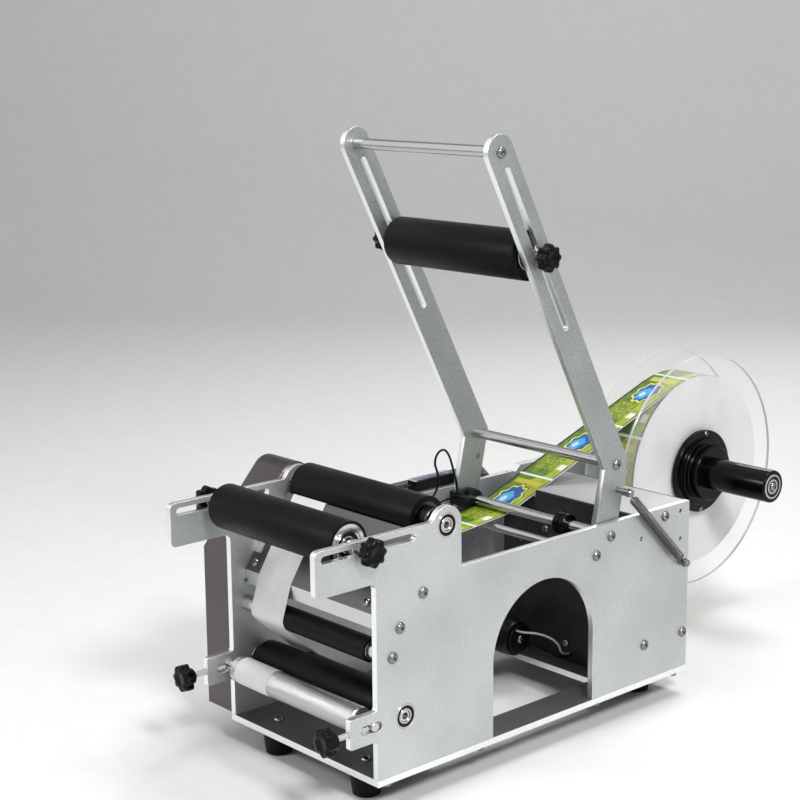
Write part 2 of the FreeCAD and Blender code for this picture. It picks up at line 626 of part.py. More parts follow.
def roller_spacers(at, half, bar):
    return [rod_x(*sorted((side * (half + REST), side * (bar - REST))), at, SHAFT_R + 1.5) for side in (-1, 1)]


def front_roller():
    reach = knob_pair("front", FRONT_AXIS, OUTER + REST)
    axle = clamp_axle(FRONT_AXIS, INNER - REST, reach)
    add("front_axle", axle.fuse(roller_spacers(FRONT_AXIS, FRONT_HALF, INNER)).removeSplitter())
    free_roller("front_roller", "front_axle", FRONT_AXIS, FRONT_R, FRONT_HALF)


# ================================================================ swing frame
def arm_points():
    down = unit(PIVOT_AXIS[0] - ARM_BEND[0], PIVOT_AXIS[1] - ARM_BEND[1])
    up = unit(ARM_TOP[0] - ARM_BEND[0], ARM_TOP[1] - ARM_BEND[1])
    return up, down


ARM_X1 = INNER - ARM_GAP
ARM_X0 = ARM_X1 - ARM_T


def arm_spot(s):
    """Point on the arm's centre line, s from the handle towards the bend."""
    up, _ = arm_points()
    return (ARM_TOP[0] - up[0] * s, ARM_TOP[1] - up[1] * s)


def swing_arm():
    up, down = arm_points()
    half = ARM_W / 2
    front_up, front_down = (-up[1], up[0]), (down[1], -down[0])
    cos_half = math.cos((math.acos(-(up[0] * down[0] + up[1] * down[1]))) / 2)
    mitre = unit(front_up[0] + front_down[0], front_up[1] + front_down[1])
    corner = half / cos_half

    def off(at, direction, distance):
        return (at[0] + direction[0] * distance, at[1] + direction[1] * distance)

    stop = (STOP_AXIS[0] - PIVOT_AXIS[0]) * front_down[0] + (STOP_AXIS[1] - PIVOT_AXIS[1]) * front_down[1]
    tail_half = stop - STOP_R - REST
    heel = off(PIVOT_AXIS, down, 9.0)
    tail = off(PIVOT_AXIS, down, ARM_TAIL)
    outline = [off(ARM_TOP, front_up, half), off(ARM_BEND, mitre, corner), off(PIVOT_AXIS, front_down, half),
               off(heel, front_down, tail_half), off(tail, front_down, tail_half), off(tail, front_down, -tail_half),
               off(PIVOT_AXIS, front_down, -half), off(ARM_BEND, mitre, -corner), off(ARM_TOP, front_up, -half)]
    arm = prism_x(outline, ARM_X0, ARM_X1).fuse(rod_x(ARM_X0, ARM_X1, ARM_TOP, half)).removeSplitter()
    cuts = [rod_x(ARM_X0 - 1, ARM_X1 + 1, PIVOT_AXIS, SHAFT_R + RUN),
            rod_x(ARM_X0 - 1, ARM_X1 + 1, ARM_TOP, SCREW_R + SCREW_GAP),
            rod_x(ARM_X0 - 1, ARM_X1 + 1, ARM_BEND, SCREW_R + SCREW_GAP),
            rod_x(ARM_X0 - 1, ARM_X1 + 1, POST_AT, SCREW_R + RUN),
            slot_x(ARM_X0 - 1, ARM_X1 + 1, arm_spot(ARM_SLOT_TOP), arm_spot(ARM_SLOT_LOW), 2 * (STUD_R + SLIDE))]
    return arm.cut(cuts)


def swing_frame():
    arm = swing_arm()
    add("right_swing_arm", arm)
    add("left_swing_arm", mirrored(arm))
    for at, r in ((ARM_TOP, HANDLE_R), (ARM_BEND, TIE_ROD_R)):
        rod = rod_x(-ARM_X0, ARM_X0, at, r)
        for side in (-1, 1):
            rod = tapped_end(rod, side, ARM_X0, at)
            add("arm_screws", side_screw(side, at, ARM_T + TAPPED - 1, ARM_X1))
        add("arm_rods", rod)
    post = rod_x(ARM_X0, ARM_X1, POST_AT, SCREW_R).fuse(rod_x(ARM_X1, SPRING_X + 4.5, POST_AT, HOOK_POST_R))
    groove = tube_x(SPRING_X - 1.2, SPRING_X + 1.2, POST_AT, HOOK_POST_R + 1, HOOK_R)
    add("arm_screws", *both_sides(post.cut(groove).removeSplitter()))


SPRING_X = OUTER + 6.0
SPRING_R = 4.6
SPRING_WIRE = 0.6
HOOK_POST_R = 3.5
HOOK_R = 2.5               # bottom of the groove that holds a hook
HOOK_L = 11.0              # middle of the hook to the first coil


def springs():
    """Extension springs outside the side plates, as plain tubes with a hook at each end."""
    pin = rod_x(INNER, OUTER, PIN_AT, STUD_R).fuse(rod_x(OUTER, SPRING_X + 4.5, PIN_AT, HOOK_POST_R))
    groove = tube_x(SPRING_X - 1.2, SPRING_X + 1.2, PIN_AT, HOOK_POST_R + 1, HOOK_R)
    add("frame_screws", *both_sides(pin.cut(groove).removeSplitter()))
    dy, dz = unit(PIN_AT[0] - POST_AT[0], PIN_AT[1] - POST_AT[1])
    length = math.dist(POST_AT, PIN_AT)
    eye_r = HOOK_R + REST
    coil = Part.makeCylinder(SPRING_R, length - 2 * HOOK_L).cut(Part.makeCylinder(SPRING_R - 2 * SPRING_WIRE, length))
    start = V(SPRING_X, POST_AT[0] + dy * HOOK_L, POST_AT[1] + dz * HOOK_L)
    coil.Placement = FreeCAD.Placement(start, FreeCAD.Rotation(V(0, 0, 1), V(0, dy, dz)))
    pieces = [coil]
    for at, sense in ((POST_AT, 1), (PIN_AT, -1)):
        def spot(d):
            return V(SPRING_X, at[0] + sense * dy * d, at[1] + sense * dz * d)
        along = V(0, sense * dy, sense * dz)
        pieces += [tube_x(SPRING_X - SPRING_WIRE, SPRING_X + SPRING_WIRE, at, eye_r + 2 * SPRING_WIRE, eye_r),
                   Part.makeCylinder(SPRING_WIRE, HOOK_L - eye_r, spot(eye_r + 0.3), along),
                   Part.makeCylinder(SPRING_R, 1.2, spot(HOOK_L), along)]
    spring = pieces[0].fuse(pieces[1:]).removeSplitter()
    add("right_spring", spring)
    add("left_spring", mirrored(spring))


def upper_roller():
    at = arm_spot(UPPER_ALONG)
    reach = knob_pair("upper", at, ARM_X1 + REST)
    axle = clamp_axle(at, ARM_X0 - REST, reach)
    add("upper_axle", axle.fuse(roller_spacers(at, UPPER_HALF, ARM_X0)).removeSplitter())
    free_roller("upper_roller", "upper_axle", at, UPPER_R, UPPER_HALF)


# ================================================================ web guides and sensor
COLLAR_R = 10.0
COLLAR_X0 = 36.0
COLLAR_W = 14.0
NOSE_L = 24.0              # front of the sensor head, ahead of the pivot shaft
NOSE_DROP = 2.0            # its underside below the shaft's axis
NOSE_H = 13.0
NOSE_Y = PIVOT_AXIS[0] - NOSE_L
NOSE_Z = PIVOT_AXIS[1] - NOSE_DROP
NOSE_TOP = NOSE_Z + NOSE_H


def web_guides():
    """Collars on the pivot shaft that guide the web's edges, and the gap sensor beside the left one."""
    groove = tube_x(COLLAR_X0 + COLLAR_W / 2 - 0.7, COLLAR_X0 + COLLAR_W / 2 + 0.7, PIVOT_AXIS, COLLAR_R + 1, COLLAR_R - 1)
    add("right_web_collar", tube_x(COLLAR_X0, COLLAR_X0 + COLLAR_W, PIVOT_AXIS, COLLAR_R, SHAFT_R + RUN).cut(groove))
    edge = WEB_X0 - REST
    body_x = edge - 4.0 - REST
    clamp_x = -ARM_X0 + 0.8
    clamp = tube_x(clamp_x, body_x, PIVOT_AXIS, COLLAR_R + 0.5, SHAFT_R)
    front = box(clamp_x, NOSE_Y, NOSE_Z, body_x, PIVOT_AXIS[0] - SHAFT_R - 2, NOSE_TOP)
    finger = box(body_x - 0.1, NOSE_Y, NOSE_Z, WEB_X0 + 8.0, NOSE_Y + 9.0, NOSE_TOP - 3.0)
    add("sensor_head", clamp.fuse([front, finger]).removeSplitter(), tube_x(edge - 4.0, edge, PIVOT_AXIS, COLLAR_R, SHAFT_R))


AMP_Y0, AMP_Y1 = 232.0, 284.0
AMP_X0, AMP_X1 = -117.0, -105.0
AMP_H = 10.5


def amplifier():
    """Slim fibre amplifier that lies on the side cover."""
    body = box(AMP_X0, AMP_Y0, PLATE_TOP, AMP_X1, AMP_Y1, PLATE_TOP + AMP_H)
    upright = [e for e in body.Edges if abs(e.Vertexes[0].Point.z - e.Vertexes[-1].Point.z) > 1]
    add("fibre_amplifier", body.makeFillet(1.2, upright))


# ================================================================ cords
def cord(name, route, diameter):
    """Round cord along straight runs joined by tangent arcs."""
    points = [V(*p) for p in route]
    edges = []
    radii = []
    at = points[0]
    for before, corner, after in zip(points, points[1:], points[2:]):
        a, b = (before - corner), (after - corner)
        run = min(a.Length, b.Length)
        turn = math.pi - a.getAngle(b)
        radius = 0.45 * run / math.tan(turn / 2)
        cut = 0.45 * run
        a.normalize()
        b.normalize()
        start, end = corner + a * cut, corner + b * cut
        half = (a + b).normalize()
        middle = corner + half * (math.hypot(radius, cut) - radius)
        edges.append(Part.LineSegment(at, start).toShape())
        edges.append(Part.Arc(start, middle, end).toShape())
        radii.append(round(radius, 1))
        at = end
    edges.append(Part.LineSegment(at, points[-1]).toShape())
    path = Part.Wire(edges)
    first = points[1] - points[0]
    circle = Part.makeCircle(diameter / 2, points[0], first)
    tube = path.makePipeShell([Part.Wire(circle)], True, False)
    print(name, "length %.1f" % path.Length, "radii", radii,
          "volume ratio %.4f" % (tube.Volume / (path.Length * math.pi * diameter ** 2 / 4)))
    add(name, tube)


LEAD_D = 2.2
MOTOR_LEAD_D = 2.0
SENSOR_LEAD_TALL = [(-108.5, 231.8, 176), (-108.5, 224, 176), (-105, 213, 178), (-95, 206, 181), (-85, 206, 175),
                    (-78, 214, 167), (-73, 224, 170), (-69, 229, 184), (-65, 224, 198), (-61.5, 216, 209),
                    (-60, 219, 219.5), (-60.5, 228.5, 221.5), (-62.5, 237, 213), (-67.5, 246, 199),
                    (-74, 255, 187), (-81, 264, 179), (-83.4, 267, 169.3)]
SENSOR_LEAD_SHORT = [(-113.5, 231.8, 176), (-113.5, 221, 176), (-109, 209, 178), (-98, 200, 181), (-87, 201, 173),
                     (-80, 212, 162), (-78.5, 226, 160), (-80, 240, 162.5), (-83, 251, 162.5), (-83.4, 260.2, 162.5)]


def sensor_leads():
    cord("sensor_lead_tall", SENSOR_LEAD_TALL, LEAD_D)
    cord("sensor_lead_short", SENSOR_LEAD_SHORT, LEAD_D)


# ================================================================ electronics box
def under_web(gap, side):
    """Wedge above a plane that lies a gap below the web, for the box's recess."""
    a, b = web_to_roll()
    slope = (a[1] - b[1]) / (a[0] - b[0])
    y0, y1 = PANEL_Y - 5, PLATE_LEN
    z0, z1 = (b[1] + slope * (y - b[0]) - gap * math.hypot(1, slope) for y in (y0, y1))
    return prism_x([(y0, z0), (y1, z1), (y1, z1 + 60), (y0, z1 + 60)], BOX_X0 - 1, WEB_X1 + side)


def electronics_box():
    """Bent sheet box on the base plate, closed at the back by a plate with inlet and switch."""
    back = PLATE_LEN - SHEET_T
    shell = box(BOX_X0, PANEL_Y, BASE_T, INNER, back, PLATE_TOP)
    shell = round_edges_x(shell, [(PANEL_Y, PLATE_TOP)], 2.0)
    inside = box(BOX_X0 + SHEET_T, PANEL_Y + SHEET_T, 0, INNER - SHEET_T, back + 1, PLATE_TOP - SHEET_T)
    shell = shell.cut(under_web(1.5, 2)).cut(inside.cut(under_web(1.5 + SHEET_T, 2 + SHEET_T)))
    holes = []
    for at in BOX_SCREWS:
        holes.append(rod_x(INNER - SHEET_T - 1, INNER + 1, at, SCREW_R + SCREW_GAP))
    for x, z in PANEL_SCREWS:
        holes.append(rod_y(PANEL_Y - 1, PANEL_Y + SHEET_T + 1, x, z, SMALL_R + SCREW_GAP))
        add("frame_screws", placed(small_bolt(6.0), (x, PANEL_Y, z), (0, -1, 0)))
    for x in LEAD_HOLES:
        holes.append(rod_y(PANEL_Y - 1, PANEL_Y + SHEET_T + 1, x, LEAD_Z, MOTOR_LEAD_D / 2 + REST))
    add("electronics_box", shell.cut(holes))
    plate = box(BOX_X0, back, BASE_T, INNER, PLATE_LEN, PLATE_TOP)
    for x, half in ((INLET_X, 14.0), (SWITCH_X, 9.7)):
        plate = plate.cut(box(x - half, back - 1, INLET_Z - 9, x + half, PLATE_LEN + 1, INLET_Z + 9))
    add("box_back_plate", plate)
    board_z = BASE_T + STANDOFF_H
    y0, y1 = PANEL_Y + BOARD_FRONT, back - BOARD_REAR
    board = box(BOARD_X0, y0, board_z, BOARD_X1, y1, board_z + BOARD_T)
    supply = box(SUPPLY_X0, y0 + SUPPLY_IN, board_z, SUPPLY_X1, y1 - SUPPLY_IN, board_z + SUPPLY_H)
    terminals = box(LEAD_HOLES[0] - TERMINAL_HALF, LEAD_END_Y + REST, LEAD_Z - TERMINAL_HALF,
                    LEAD_HOLES[1] + TERMINAL_HALF, y0 + SUPPLY_IN, LEAD_Z + TERMINAL_HALF + BOARD_T)
    board = board.fuse([supply, terminals])
    for x in (BOARD_X0 + 2 * STANDOFF_R, BOARD_X1 - 2 * STANDOFF_R):
        for y in (y0 + SUPPLY_IN, y1 - SUPPLY_IN):
            board = board.fuse(rod_z(BASE_T, board_z, x, y, STANDOFF_R))
    add("control_electronics", board.removeSplitter())


PANEL_SCREWS = ((-46.0, 118.0), (-14.0, 134.0), (14.5, 23.5))
BOARD_X0, BOARD_X1 = -30.0, 80.0
BOARD_T = 1.6
BOARD_FRONT = 10.0         # circuit board to the box's front face
BOARD_REAR = 12.0          # circuit board to the back plate
STANDOFF_H = 10.0
STANDOFF_R = 3.0
SUPPLY_X0, SUPPLY_X1 = -20.0, 25.0
SUPPLY_IN = 4.0
SUPPLY_H = 26.0
TERMINAL_HALF = 5.0
INLET_X, INLET_Z = 55.0, 60.0
SWITCH_X = 12.0
LEAD_HOLES = (18.0, 23.0)
LEAD_Z = 14.0
LEAD_END_Y = PANEL_Y + SHEET_T + 4.0


def inlet_and_switch():
    """Mains inlet with three blades, and the frame of the rocker switch."""
    rear = PLATE_LEN
    body = box(INLET_X - 13.8, rear - 18, INLET_Z - 8.8, INLET_X + 13.8, rear, INLET_Z + 8.8)
    rim = box(INLET_X - 17, rear, INLET_Z - 12, INLET_X + 17, rear + 2.5, INLET_Z + 12)
    cavity = box(INLET_X - 12, rear - 13, INLET_Z - 7, INLET_X + 12, rear + 3, INLET_Z + 7)
    shell = body.fuse(rim).cut(cavity)
    for x, z in ((-7.0, -2.0), (0.0, 2.0), (7.0, -2.0)):
        shell = shell.fuse(box(INLET_X + x - 1, rear - 14, INLET_Z + z - 2, INLET_X + x + 1, rear - 2, INLET_Z + z + 2))
    frame = box(SWITCH_X - 9.5, rear - 12, INLET_Z - 8.8, SWITCH_X + 9.5, rear, INLET_Z + 8.8)
    lip = box(SWITCH_X - 11.5, rear, INLET_Z - 11, SWITCH_X + 11.5, rear + 2, INLET_Z + 11)
    well = box(SWITCH_X - 8, rear - 9, INLET_Z - ROCKER_HALF - REST, SWITCH_X + 8, rear + 3, INLET_Z + ROCKER_HALF + REST)
    add("power_inlet", shell.removeSplitter(), frame.fuse(lip).cut(well).removeSplitter())
    section = [(-7.0, 5.0), (0.0, 3.0), (7.0, 3.0), (5.0, -3.4), (1.5, -4.4), (-1.5, -4.4), (-5.0, -3.4)]
    corners = [V(SWITCH_X + x, rear + y, INLET_Z - ROCKER_HALF) for x, y in section]
    add("rocker_switch", Part.Face(Part.makePolygon(corners + [corners[0]])).extrude(V(0, 0, 2 * ROCKER_HALF)))


ROCKER_HALF = 6.5


# ================================================================ motor and belt
GEARBOX_R = 24.0
GEARBOX_L = 30.0
MOTOR_R = 18.0
MOTOR_L = 52.0
MOTOR_CAP_R = 14.0


def drive_motor():
    """Geared motor on the inside of the left plate, with its shaft, pulley and leads."""
    x0 = -INNER
    body_x = x0 + GEARBOX_L
    cap_x = body_x + MOTOR_L
    gearbox = rod_x(x0, body_x, MOTOR_AXIS, GEARBOX_R).cut(rod_x(x0 - 1, x0 + TAPPED, MOTOR_AXIS, SHAFT_R + RUN))
    for at in MOTOR_SCREWS:
        gearbox = tapped_end(gearbox, -1, INNER, at, TAPPED, SMALL_R)
        add("frame_screws", placed(small_bolt(PLATE_T + TAPPED - 2), (-OUTER, at[0], at[1]), (-1, 0, 0)))
    motor = rod_x(body_x, cap_x, MOTOR_AXIS, MOTOR_R).fuse(rod_x(cap_x, cap_x + 3.0, MOTOR_AXIS, MOTOR_CAP_R))
    motor = motor.cut(rod_x(cap_x, cap_x + 4, MOTOR_AXIS, SMALL_R + RUN))
    screw = placed(small_bolt(2.5), (cap_x + 3.0, MOTOR_AXIS[0], MOTOR_AXIS[1]), (1, 0, 0))
    add("drive_motor", gearbox, motor.removeSplitter(), screw)
    add("motor_pulley", rod_x(MOTOR_BELT_X - BELT_W / 2 - 3, x0 + TAPPED - 1, MOTOR_AXIS, SHAFT_R))
    cord("motor_lead_white", MOTOR_LEAD_WHITE, MOTOR_LEAD_D)
    cord("motor_lead_black", MOTOR_LEAD_BLACK, MOTOR_LEAD_D)


MOTOR_LEAD_WHITE = [(-9.7, 276, 41), (-2, 276, 41), (9, 282, 42), (17, 294, 37), (20, 304, 28), (19, 308, 18),
                    (18, 317, 14), (18, LEAD_END_Y, 14)]
MOTOR_LEAD_BLACK = [(-9.7, 287, 25), (-2, 287, 25), (8, 291, 21), (17, 297, 18), (22.5, 307, 14.5), (23, 317, 14),
                    (23, LEAD_END_Y, 14)]


SHAFT_END = ROLLER_BELT_X - BELT_W / 2 - 3


def pulley(name, at, belt_x):
    half = BELT_W / 2 + 0.4
    wheel = tube_x(belt_x - half, belt_x + half, at, PULLEY_R, SHAFT_R)
    for x in (belt_x - half - PULLEY_RIM, belt_x + half):
        wheel = wheel.fuse(tube_x(x, x + PULLEY_RIM, at, PULLEY_R + 2.5, SHAFT_R))
    add(name, wheel.removeSplitter())


def belt(belt_x, a, b):
    inner = PULLEY_R + RUN
    outer = inner + BELT_T
    ends = (belt_x - BELT_W / 2, belt_x + BELT_W / 2)
    add("drive_belts", slot_x(*ends, a, b, 2 * outer).cut(slot_x(ends[0] - 1, ends[1] + 1, a, b, 2 * inner)))


def belt_drive():
    """Belt from the motor to the traction roller, and from there to the rear roller."""
    pulley("motor_pulley", MOTOR_AXIS, MOTOR_BELT_X)
    pulley("traction_pulleys", TRACTION_AXIS, MOTOR_BELT_X)
    pulley("traction_pulleys", TRACTION_AXIS, ROLLER_BELT_X)
    pulley("rear_roller_pulley", REAR_AXIS, ROLLER_BELT_X)
    belt(MOTOR_BELT_X, TRACTION_AXIS, MOTOR_AXIS)
    belt(ROLLER_BELT_X, TRACTION_AXIS, REAR_AXIS)


def tangent_from(point, centre, r, side):
    """Point where the line from a point touches a circle, on the given side."""
    dy, dz = centre[0] - point[0], centre[1] - point[1]
    dist = math.hypot(dy, dz)
    reach = math.sqrt(dist ** 2 - r ** 2)
    a = math.atan2(dz, dy) + side * math.asin(r / dist)
    return (point[0] + reach * math.cos(a), point[1] + reach * math.sin(a))


def cover_solid(grow, x0, x1):
    """Side cover's outline, shrunk by grow, as a solid between two X planes."""
    low, back, top = COVER_LOW + grow, COVER_BACK - grow, PLATE_TOP - grow
    front, shoulder = COVER_FRONT + grow, COVER_SHOULDER - grow * 0.4
    r = COVER_EAR_R - grow
    foot = (COVER_FOOT, top)
    touch_front = tangent_from((front, shoulder), REAR_AXIS, r, 1)
    touch_back = tangent_from(foot, REAR_AXIS, r, -1)
    body = prism_x([(front, low), (front, shoulder), touch_front, REAR_AXIS, touch_back, foot, (back, top), (back, low)],
                   x0, x1)
    return body.fuse(rod_x(x0, x1, REAR_AXIS, r)).removeSplitter()


def side_cover():
    """Sheet cover over the belt, screwed to four posts on the left plate."""
    shell = cover_solid(0, COVER_X, -OUTER).cut(cover_solid(COVER_T, COVER_X + COVER_T, -OUTER + 1))
    notch = box(-SPRING_X - SPRING_R - 2, COVER_NOTCH_Y, COVER_NOTCH_Z, -OUTER + 1, COVER_BACK + 1, PLATE_TOP + 1)
    for at in COVER_POSTS:
        shell = shell.cut(rod_x(COVER_X - 1, COVER_X + COVER_T + 1, at, SMALL_R + SCREW_GAP))
        post = rod_x(COVER_X + COVER_T, -OUTER, at, 4.0).fuse(rod_x(-OUTER, -INNER - 0.5, at, SMALL_R))
        post = post.cut(rod_x(COVER_X, COVER_X + COVER_T + 10, at, SMALL_R + RUN))
        add("frame_screws", post.removeSplitter())
        add("frame_screws", placed(small_bolt(9.0), (COVER_X, at[0], at[1]), (-1, 0, 0)))
    add("side_cover", shell.cut(notch))


# ================================================================ label reel
def reel_arm():
    """Flat arm inside the left plate, with the spindle that carries the reel."""
    x0, x1 = -INNER, -INNER + REEL_ARM_T
    cy, cz = REEL_AXIS
    low = cz - REEL_ARM_R
    outline = [(REEL_ARM_Y0, low + 6), (REEL_ARM_Y0, REEL_ARM_TOP - 6), (REEL_ARM_Y0 + 6, REEL_ARM_TOP), (cy, REEL_ARM_TOP),
               (cy, low), (REEL_ARM_Y0 + 6, low)]
    arm = prism_x(outline, x0, x1).fuse(rod_x(x0, x1, REEL_AXIS, REEL_ARM_R)).removeSplitter()
    arm = arm.cut(rod_x(x0 - 1, x1 + 1, REEL_AXIS, SPINDLE_R))
    reach = PLATE_T + REEL_ARM_T - 0.5
    for at in SPARE_HOLES[:2]:
        arm = arm.cut(rod_x(x0 - 1, x1 + 1, at, SMALL_R + RUN))
        add("frame_screws", placed(small_bolt(reach), (-OUTER, at[0], at[1]), (-1, 0, 0)))
    arm = arm.cut(rod_x(x0 - 1, x1 + 1, BOX_SCREWS[0], SCREW_R + RUN))
    add("frame_screws", side_screw(-1, BOX_SCREWS[0], reach))
    add("reel_arm", arm)
    end = TUBE_X1 - 0.5
    spindle = rod_x(x0, end, REEL_AXIS, SPINDLE_R).fuse(rod_x(x1, TUBE_X0 - REST, REEL_AXIS, SPINDLE_R + 4.0))
    spindle = tapped_end(spindle, -1, INNER, REEL_AXIS)
    spindle = tapped_end(spindle, 1, end, REEL_AXIS)
    add("reel_spindle", spindle.removeSplitter())
    for side, seat in ((-1, INNER), (1, end)):
        add("frame_screws", side_screw(side, REEL_AXIS, TAPPED - 1, seat))


def clip_x():
    """Near side of the clip's groove, just outside the near hub."""
    return NEAR_DISC_X + DISC_T + HUB_T + COLLAR_STEP + SNOUT_L + 2 * REST


def reel():
    """Tube on two bearings, fixed far flange, sliding near flange, and the roll on its core."""
    tube = tube_x(TUBE_X0, TUBE_X1, REEL_AXIS, TUBE_R, SPINDLE_R + 2.0)
    for x_a, x_b in ((TUBE_X0, TUBE_X0 + ROLLER_BEARING_W), (TUBE_X1 - ROLLER_BEARING_W, TUBE_X1)):
        add("reel_spindle", tube_x(x_a, x_b, REEL_AXIS, ROLLER_BEARING_R, SPINDLE_R))
        tube = tube.cut(rod_x(x_a - REST, x_b + REST, REEL_AXIS, ROLLER_BEARING_R + RUN))
    clip = clip_x()
    tube = tube.cut(tube_x(clip, clip + CLIP_W, REEL_AXIS, TUBE_R + 1, TUBE_R - CLIP_DEPTH))
    rim = [e for e in tube.Edges if abs(e.CenterOfMass.x - TUBE_X1) < 1e-6 and abs(e.Length - 2 * math.pi * TUBE_R) < 0.01]
    add("reel_tube", tube.makeFillet(1.5, rim))
    spigot_r = CORE_BORE - REST
    for name, face, sense, bore in (("far", FAR_DISC_X, -1, TUBE_R), ("near", NEAR_DISC_X, 1, TUBE_R + RUN)):
        def span(a, b):
            return sorted((face + sense * a, face + sense * b))
        disc = tube_x(*span(0, DISC_T), REEL_AXIS, DISC_R, spigot_r)
        hub = rod_x(*span(DISC_T, DISC_T + HUB_T), REEL_AXIS, HUB_R)
        hub = hub.fuse(rod_x(*span(-SPIGOT_L, DISC_T), REEL_AXIS, spigot_r))
        if sense > 0:
            step = DISC_T + HUB_T + COLLAR_STEP
            hub = hub.fuse([rod_x(*span(DISC_T + HUB_T, step), REEL_AXIS, HUB_STEP_R),
                            rod_x(*span(step, step + SNOUT_L), REEL_AXIS, SNOUT_R)])
        hub = hub.cut(rod_x(-OUTER, OUTER, REEL_AXIS, bore)).removeSplitter()
        screws = []
        for a in HUB_SCREW_TURNS:
            spot = (REEL_AXIS[0] + HUB_SCREW_AT * math.cos(a), REEL_AXIS[1] + HUB_SCREW_AT * math.sin(a))
            hole = rod_x(*span(-1, DISC_T + HUB_T + 1), spot, TINY_R + RUN)
            hub, disc = hub.cut(hole), disc.cut(hole)
            seat = face + sense * (DISC_T + HUB_T)
            screws.append(placed(bolt(DISC_T + HUB_T - 1, TINY_R, TINY_HEAD_R, TINY_HEAD_H), (seat, spot[0], spot[1]), (sense, 0, 0)))
        add(name + "_reel_disc", disc)
        add(name + "_reel_hub", hub, *screws)
    add("label_roll", tube_x(WEB_X0, WEB_X1, REEL_AXIS, ROLL_R, CORE_R), tube_x(WEB_X0, WEB_X1, REEL_AXIS, CORE_R, CORE_BORE))


# ================================================================ build
def build():
    frame_plates()
    base_plate()
    feet()
    cross_rods()
    peel_plate()
    label_path()
    bearings()
    rear_roller()
    traction_roller()
    guide_roller()
    pinch_roller()
    pinch_knobs()
    front_roller()
    swing_frame()
    springs()
    upper_roller()
    web_guides()
    amplifier()
    sensor_leads()
    electronics_box()
    inlet_and_switch()
    drive_motor()
    belt_drive()
    side_cover()
    reel_arm()
    reel()


build()
bounds = Part.makeCompound(list(parts.values())).BoundBox
SHIFT = V(-(bounds.XMin + bounds.XMax) / 2, -(bounds.YMin + bounds.YMax) / 2, -bounds.ZMin)
os.makedirs("parts", exist_ok=True)
for name, shape in parts.items():
    shape.translate(SHIFT)
    shape.exportStep("parts/" + name + ".step")
print(len(parts), "nodes, origin shift", SHIFT)
print("size %.1f x %.1f x %.1f" % (bounds.XLength, bounds.YLength, bounds.ZLength))
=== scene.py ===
# %% [markdown]
# # A bench-top bottle labelling machine
# Two aluminium side plates on a base carry a set of rollers, and a hinged frame presses a bottle onto
# them. A reel of printed labels hangs behind. The CAD model already holds every place and size, so this
# lesson loads it as a fixed frame and gives each piece its surface, its small details and its finish.

# %% Load the CAD model
import math
import bpy
import bmesh
from mathutils import Matrix, Vector


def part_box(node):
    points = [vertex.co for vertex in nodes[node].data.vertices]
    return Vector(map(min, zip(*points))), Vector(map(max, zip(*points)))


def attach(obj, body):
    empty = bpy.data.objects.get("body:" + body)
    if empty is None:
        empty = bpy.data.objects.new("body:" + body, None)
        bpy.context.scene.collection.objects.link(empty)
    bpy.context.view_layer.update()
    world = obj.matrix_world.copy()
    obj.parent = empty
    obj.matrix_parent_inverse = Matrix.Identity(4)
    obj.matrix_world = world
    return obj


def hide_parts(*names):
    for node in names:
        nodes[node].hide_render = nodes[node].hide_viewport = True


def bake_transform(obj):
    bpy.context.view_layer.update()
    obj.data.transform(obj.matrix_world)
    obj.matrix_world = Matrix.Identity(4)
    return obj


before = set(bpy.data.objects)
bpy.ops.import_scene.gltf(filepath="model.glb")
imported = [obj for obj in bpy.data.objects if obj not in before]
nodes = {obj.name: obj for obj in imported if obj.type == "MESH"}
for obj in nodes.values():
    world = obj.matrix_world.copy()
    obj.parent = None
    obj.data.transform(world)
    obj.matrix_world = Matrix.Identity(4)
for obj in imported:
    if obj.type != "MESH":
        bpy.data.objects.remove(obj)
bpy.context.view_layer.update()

# %% [markdown]
# A maker thinks in millimetres from a corner of the machine: X = 0 midway between the side plates,
# Y = 0 at their front edge, Z = 0 under the base plate. The base plate's own box says where that corner
# lies in the scene, so one small function turns machine millimetres into scene metres.

# %% Machine millimetres to scene metres
PLATE_OUT = 101.0          # outer face of a side plate
PLATE_IN = 95.0            # inner face
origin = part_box("base_plate")[0] + Vector((PLATE_OUT / 1000, 0, 0))


def spot(point):
    return origin + Vector(point) / 1000


print("machine origin", [round(v, 5) for v in origin])

# %% [markdown]
# Every round piece on the machine is a turned part: rollers, axles, bearings, collars, hubs, feet. In
# Blender they could be Screw modifiers, but a short function that spins a profile also lets each face
# carry its own finish and a "surface" attribute, the distance round and along the piece in millimetres,
# which a pattern can follow.

# %% A shape that gathers faces, and the lathe
class Shape:
    """Faces in machine millimetres, each with a finish and its corners' distances on the surface."""

    def __init__(self):
        self.verts, self.faces, self.finishes, self.surface = [], [], [], []

    def grow(self, verts, faces, finish, surface=None):
        start = len(self.verts)
        self.verts += verts
        for k, face in enumerate(faces):
            self.faces.append([start + i for i in face])
            self.finishes.append(finish[k] if isinstance(finish, list) else finish)
            self.surface.append(surface[k] if surface else [(0, 0)] * len(face))

    def make(self, name, body, *stands_for, sharp=35):
        mesh = bpy.data.meshes.new(name)
        mesh.from_pydata([spot(v) for v in self.verts], [], self.faces)
        finishes = list(dict.fromkeys(self.finishes))
        for finish in finishes:
            mesh.materials.append(finish)
        mesh.polygons.foreach_set("material_index", [finishes.index(f) for f in self.finishes])
        layer = mesh.attributes.new("surface", "FLOAT_VECTOR", "CORNER")
        layer.data.foreach_set("vector", [c for face in self.surface for u, v in face for c in (u, v, 0)])
        turned = bmesh.new()
        turned.from_mesh(mesh)
        bmesh.ops.recalc_face_normals(turned, faces=turned.faces)
        turned.to_mesh(mesh)
        turned.free()
        return settle(name, mesh, body, *stands_for, sharp=sharp)


